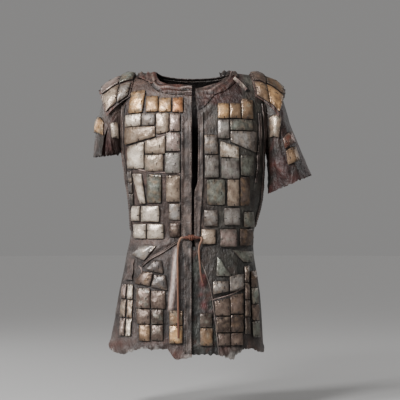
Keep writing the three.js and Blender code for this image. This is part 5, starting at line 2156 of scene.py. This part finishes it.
@dataclass
class Sleeves:
    """The sleeves, the right one slit in front, and the shoulder caps."""

    wall: float = 2.2
    slit_at: float = 85.2
    slit_start: float = 0.3
    slit_turn: float = 9
    slit_gap: float = 0.3
    underarm_gap: float = 0.2
    rows: int = 58
    cuff_fray: float = 0.018

    def tube(self, node: str, sleeve: SleeveForm, around: Grid, shift: float, tones: tuple[Tone, Tone],
             wraps: bool = False) -> None:
        """Builds a sleeve or one of its halves.

        Args:
            node: the node that it stands for.
            sleeve: the sleeve's form.
            around: degrees around for each point.
            shift: how far it is moved to part it from its neighbour.
            tones: its colours at the armhole and the hem.
            wraps: true for a whole tube.
        """
        along = np.linspace(0, 1, self.rows)[:, None] + 0 * around
        rag = ripple(around * 1.3, around * 0, 13, 81) + 0.6 * ripple(around * 1.3, around * 0, 4.5, 82)
        along_cut = np.clip(along * (1 + self.cuff_fray * rag * smooth((along - 0.8) * 5)), 0, 1.06)
        relief = sleeve.relief(around, along_cut)
        plain, normal = sleeve.plain(around, along_cut), sleeve.normal(around, along_cut)
        outer = plain + normal * relief[..., None] + np.array([0, shift, 0])
        inner = outer - normal * self.wall
        cloudy = along + 0.4 * ripple(around * 1.3, along * 240, 80, 83)
        tone = 0.9 * blend(tones[0].linear, tones[1].linear, cloudy)
        # wear and painted highlight on crease crests and at the cuff's edge; painted shade in crease
        # troughs; darker near the armhole
        wear = 0.12 + np.clip(relief / 12, -0.1, 0.3) + 0.3 * smooth((along - 0.94) * 16)
        grime = np.clip(-relief / 6, 0, 0.6) + 0.3 * smooth((0.1 - along) * 10)
        Leather(node, outer, inner, tone, wear, grime, wraps=wraps, inside=Tone.WINE).build(plain)

    def cap(self, side: Side) -> None:
        """Builds a shoulder cap.

        Args:
            side: the wearer's side.
        """
        form = CapForm(side)
        s, t = np.meshgrid(np.linspace(0, 1, 34), np.linspace(-1, 1, 60), indexing="ij")
        rag = 1.6 * smooth((s - 0.8) * 5) * ripple(t * 110, t * 0, 16, 85 + side)
        u, v = 100 * t, -form.reach * s - rag
        outer = form.point(u, v)
        inner = form.laid(u, v, -self.wall)
        tone = blend(Tone.MAUVE.linear, Tone.RUST.linear, 0.3 + 0.4 * ripple(u, v, 60, 86))
        plates = PlateLine("", tuple(Plate(*row, Tone.SAND) for _, rows in CAP_ROWS for row in rows))
        # wear and painted highlight at the cap's free edge, painted shade beside its plates
        wear, grime = 0.25 + 0.3 * smooth((s - 0.94) * 16), 0.8 * contact((plates,), u, v)
        piece = Leather(f"cap_{side.word}", outer, inner, tone, wear, grime)
        piece.build(form.plain(u, -form.reach * s))

    def build(self) -> None:
        """Builds both sleeves and both caps."""
        along = np.linspace(0, 1, self.rows)[:, None]
        opening = smooth((along - self.slit_start) / (1 - self.slit_start))
        half = mix(self.slit_gap, self.slit_turn, opening)
        share = np.linspace(0, 1, 27)[None, :]
        front = mix(self.slit_at + half, 180 - self.underarm_gap, share)
        self.tube("sleeve_right_front", RIGHT_SLEEVE, front, -SEAM, (Tone.MAUVE, Tone.WINE))
        share = np.linspace(0, 1, 74)[None, :]
        rear = mix(180 + self.underarm_gap, 360 + self.slit_at - half, share)
        self.tube("sleeve_right_back", RIGHT_SLEEVE, rear, SEAM, (Tone.MAUVE, Tone.DUSK))
        around = np.linspace(0, 360, 108, endpoint=False)[None, :] + 0 * along
        self.tube("sleeve_left", LEFT_SLEEVE, around, 0, (Tone.DUSK, Tone.WINE), wraps=True)
        self.cap(Side.RIGHT)
        self.cap(Side.LEFT)


@dataclass
class Plates:
    """Every line of plates, with their holes and lacing threads."""

    body: TunicBody
    cap_lift: float = 1.3
    marks: Skin = field(default_factory=Skin)

    def add(self, line: PlateLine, form: Form) -> None:
        """Builds one line of plates in place of its node.

        Args:
            line: the plates.
            form: the surface that carries them.
        """
        skin = Skin()
        for number, plate in enumerate(line.plates):
            seed = sum(ord(letter) for letter in line.node) * 7 + number * 31
            hammered = HammeredPlate(plate, form, line.lift, seed)
            hammered.add_to(skin)
            hammered.add_marks(self.marks)
        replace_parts(skin.build(f"{line.node}_worn", line.finish, 40), line.node)

    def build(self) -> None:
        """Builds the plates of the fronts, the back, the caps and the sleeves."""
        for line in (*FRONT_LINES, VENT_LINE):
            self.add(line, FRONT)
        for line in self.body.back_plates:
            self.add(line, BACK)
        for side, finish in ((Side.RIGHT, GREY_PLATES), (Side.LEFT, GOLD_PLATES)):
            tones = iter(CAP_TONES[side])
            for place, rows in CAP_ROWS:
                plates = tuple(Plate(*row, next(tones)) for row in rows)
                line = PlateLine(f"plates_cap_{side.word}_{place}", plates, finish, self.cap_lift)
                self.add(line, CapForm(side))
        for name, sleeve, rows, finish, lift in SLEEVE_LINES:
            plates = tuple(Plate(*row) for row in rows)
            self.add(PlateLine(f"plates_sleeve_{name}", plates, finish, lift), OnSleeve(sleeve))
        self.marks.build("plate_lacing", THONG_LEATHER)


@dataclass
class WaistThong:
    """The twisted knot at the waist and the thong's two free ends."""

    radius: float = 2.9
    flat: float = 0.8
    strand: float = 3.1
    swing: float = 3.9
    wrap: float = 7.2
    wrap_strand: float = 2.3
    knot_half: float = 25

    def end(self, node: str, route: Rows, tones: tuple[Tone, Tone]) -> None:
        """Builds a free end, and logs its length as a cord.

        Args:
            node: the node that it stands for.
            route: the points that it hangs through.
            tones: its colours at the knot and at its tip.
        """
        path = smooth_path(route, 4)
        share = np.linspace(0, 1, len(path))
        width = self.radius * (1 + 0.08 * np.sin(share * 21))
        tone = blend(tones[0].linear, tones[1].linear, share)
        skin = Skin()
        skin.tube(path, width, tone, np.array([0, -1.0, 0.02]), sides=12, flat=self.flat)
        piece = skin.build(f"{node}_thong", THONG_LEATHER)
        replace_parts(piece, node)
        length = float(reach_along(path)[-1]) * MM
        LOG.info("%s: cord %.3f m", node, length)

    def knot(self) -> None:
        """Builds the knot from three strands that twist round each other."""
        skin = Skin()
        share = np.linspace(0, 1, 60)
        belly = np.sin(math.pi * share) ** 0.6
        for turn in (0, 1, 2):
            angle = 2 * math.pi * (turn / 3 + 1.6 * share)
            swing = self.swing * belly
            path = np.stack([
                KNOT_CENTRE[0] + (share - 0.5) * 2 * self.knot_half,
                KNOT_CENTRE[1] + swing * np.cos(angle),
                KNOT_CENTRE[2] + swing * np.sin(angle),
            ], 1)
            tone = blend(Tone.THONG.linear, Tone.RUST.linear, np.abs(share - 0.4) * 2)
            width = self.strand * (0.72 + 0.28 * belly)
            skin.tube(path, width, tone, np.array([0.0, 0, 1]), sides=10, flat=0.85)
        turns = np.linspace(0, 5 * math.pi, 90)
        wrap = np.stack([
            KNOT_CENTRE[0] - 1 + 1.5 * (turns - 2.5 * math.pi) / math.pi * 2,
            KNOT_CENTRE[1] + self.wrap * np.cos(turns),
            KNOT_CENTRE[2] + self.wrap * np.sin(turns),
        ], 1)
        out = unit(wrap - np.array(KNOT_CENTRE))
        skin.tube(wrap, self.wrap_strand, Tone.THONG.linear, out, sides=10, flat=0.7)
        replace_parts(skin.build("waist_knot_strands", THONG_LEATHER), "waist_knot")

    def build(self) -> None:
        """Builds the thong."""
        self.end("lace_right", LACE_RIGHT, (Tone.PALE_THONG, Tone.THONG))
        self.end("lace_left", LACE_LEFT, (Tone.PALE_THONG, Tone.RUST))
        self.knot()


@dataclass
class SmallSewing:
    """Seam threads, the underarm lacing, the rolled vent edge and two studs."""

    rolls: tuple[Route, ...] = (
        ((-186, -282), (-160, -294), (-130, -301), (-95, -303), (-60, -308), (-36, -307)),
        ((58, -682), (84, -675), (112, -667), (140, -654), (166, -640)),
        ((-160, -582), (-152, -594), (-150, -612)),
    )
    seams: tuple[Route, ...] = (
        ((-182, -288), (-150, -300), (-115, -308), (-80, -312), (-37, -312)),
        ((-84, -252), (-86, -276), (-98, -296), (-118, -305)),
        ((24, -322), (60, -321), (84, -322)),
        ((60, -676), (110, -664), (160, -643)),
        ((-158, -580), (-150, -596), (-128, -599)),
    )
    lacing: tuple[Route, ...] = (
        ((-80, -236), (-86, -252), (-79, -268), (-84, -284)),
        ((-86, -236), (-79, -252), (-86, -270), (-80, -286)),
        ((-83, -234), (-88, -244), (-82, -262)),
    )
    studs: Route = ((-158, -174), (-151, -174))
    stud_lift: float = 2 * SEAT + 4.4
    rib_ends: tuple[float, float] = (-535, -838)

    def laid(self, skin: Skin, form: Form, routes: Sequence[Rows], lift: float, radius: float,
             tone: Tone) -> None:
        """Lays thin cords on a surface.

        Args:
            skin: the mesh that gathers them.
            form: the surface that carries them.
            routes: their points in the surface's coordinates.
            lift: how far their middle stands off.
            radius: their half width.
            tone: their colour.
        """
        for route in routes:
            u, v = smooth_path(route, 2.5).T
            skin.tube(form.laid(u, v, lift), radius, tone.linear, form.normal(u, v), sides=6)

    def build(self) -> None:
        """Builds the small sewing."""
        threads, rolls, edge, studs = Skin(), Skin(), Skin(), Skin()
        self.laid(threads, FRONT, self.seams, 0.5, 0.75, Tone.THREAD)
        self.laid(threads, WORN, self.lacing, 2.4, 0.9, Tone.RUST)
        threads.build("seam_threads", THONG_LEATHER)
        self.laid(rolls, FRONT, self.rolls, 0.5, 1.9, Tone.ROSE)
        rolls.build("rolled_seams", GREY_LEATHER)
        heights = np.linspace(*self.rib_ends, 40)
        rib = np.stack([Profile(FRONT_EDGE_LEFT)(heights) + 1.5, heights], 1)
        self.laid(edge, FRONT, (rib,), 0.6, 1.9, Tone.ASH)
        edge.build("vent_rolled_edge", GREY_LEATHER)
        for x, z in self.studs:
            studs.bead(FRONT.laid(x, z, self.stud_lift), FRONT.normal(x, z), 1.7, 1.5, Tone.STEEL.linear)
        studs.build("plate_studs", GOLD_PLATES)


@dataclass
class Studio:
    """The camera, the soft lights, the sky and the pale floor."""

    middle: tuple[float, float, float] = (0.0225, -0.06, -0.3855)
    distance: float = 5.0
    view_width: float = 1.2
    sensor: float = 36
    sun_power: float = 2.2
    sun_spread: float = 14
    sun_ray: tuple[float, float, float] = (0.74, 0.56, -0.42)
    aim: tuple[float, float, float] = (0, 0, -0.4)
    # name, place, width, watts
    lamps: tuple = (
        ("key", (-0.95, -1.6, 0.75), 0.45, 56),
        ("rim_right", (-2.2, 1.6, 0.6), 1.2, 22),
        ("rim_left", (2.4, 1.5, 0.6), 1.2, 13),
    )
    floor_z: float = -1.02
    floor_radius: float = 14
    floor_tones: tuple[Colour, Colour] = ((0.48, 0.475, 0.47), (0.46, 0.455, 0.45))
    sky_colour: tuple[float, float, float, float] = (0.37, 0.365, 0.36, 1)
    sky_strength: float = 0.68

    def clear(self) -> None:
        """Takes out the objects that Blender starts with."""
        for name in ("Cube", "Light", "Camera"):
            if name in bpy.data.objects:
                bpy.data.objects.remove(bpy.data.objects[name])

    def put(self, data: bpy.types.ID, place: Colour, ray: Vector | None = None) -> bpy.types.Object:
        """Puts an object into the scene.

        Args:
            data: its camera, light or mesh, which also names it.
            place: where it stands.
            ray: the direction that it faces.

        Returns:
            The object.
        """
        thing = bpy.data.objects.new(data.name, data)
        thing.location = place
        if ray is not None:
            thing.rotation_euler = ray.to_track_quat("-Z", "Y").to_euler()
        bpy.context.scene.collection.objects.link(thing)
        return thing

    def camera(self) -> None:
        """Sets the camera in front, square to the garment."""
        data = bpy.data.cameras.new("camera")
        data.sensor_width = self.sensor
        data.lens = self.sensor * self.distance / self.view_width
        data.dof.use_dof = False
        camera = self.put(data, (self.middle[0], self.middle[1] - self.distance, self.middle[2]))
        camera.rotation_euler = (math.radians(90), 0, 0)
        bpy.context.scene.camera = camera

    def lights(self) -> None:
        """Adds the wide soft sun from the garment's right, and the square lamps that face the garment."""
        sun = bpy.data.lights.new("sun", "SUN")
        sun.energy = self.sun_power
        sun.angle = math.radians(self.sun_spread)
        self.put(sun, (0, 0, 0), Vector(self.sun_ray))
        for name, place, width, watts in self.lamps:
            lamp = bpy.data.lights.new(name, "AREA")
            lamp.size = width
            lamp.energy = watts
            self.put(lamp, place, Vector(self.aim) - Vector(place))

    def floor(self) -> None:
        """Lays the plain pale floor."""
        mesh = bpy.data.meshes.new("floor")
        turns = np.linspace(0, 2 * math.pi, 64, endpoint=False)
        radius = self.floor_radius
        rim = [(radius * math.cos(turn), radius * math.sin(turn), self.floor_z) for turn in turns]
        mesh.from_pydata(rim, [], [list(range(64))])
        shading = Shading("floor")
        cloud = shading.noise(3, 4)
        base = shading.mix(cloud * 0.3, *self.floor_tones)
        mesh.materials.append(shading.finish(base, 0.8 + cloud * 0.1, cloud, 0.0002))
        self.put(mesh, (0, 0, 0))

    def sky(self) -> None:
        """Sets the plain pale surroundings."""
        world = bpy.data.worlds.new("studio")
        world.use_nodes = True
        inputs = world.node_tree.nodes["Background"].inputs
        inputs["Color"].default_value = self.sky_colour
        inputs["Strength"].default_value = self.sky_strength
        bpy.context.scene.world = world

    def build(self) -> None:
        """Lights the garment."""
        self.lights()
        self.floor()
        self.sky()


def main() -> None:
    """Builds the tunic around the frame, piece by piece."""
    logging.basicConfig(level=logging.INFO, format="%(message)s")
    studio = Studio()
    studio.clear()
    studio.camera()
    WaistThong().build()
    body = TunicBody()
    body.build()
    Collars().build()
    for scrap in SCRAPS:
        scrap.build()
    Bands().build()
    Sleeves().build()
    Plates(body).build()
    SmallSewing().build()
    studio.build()


if __name__ == "__main__":
    main()
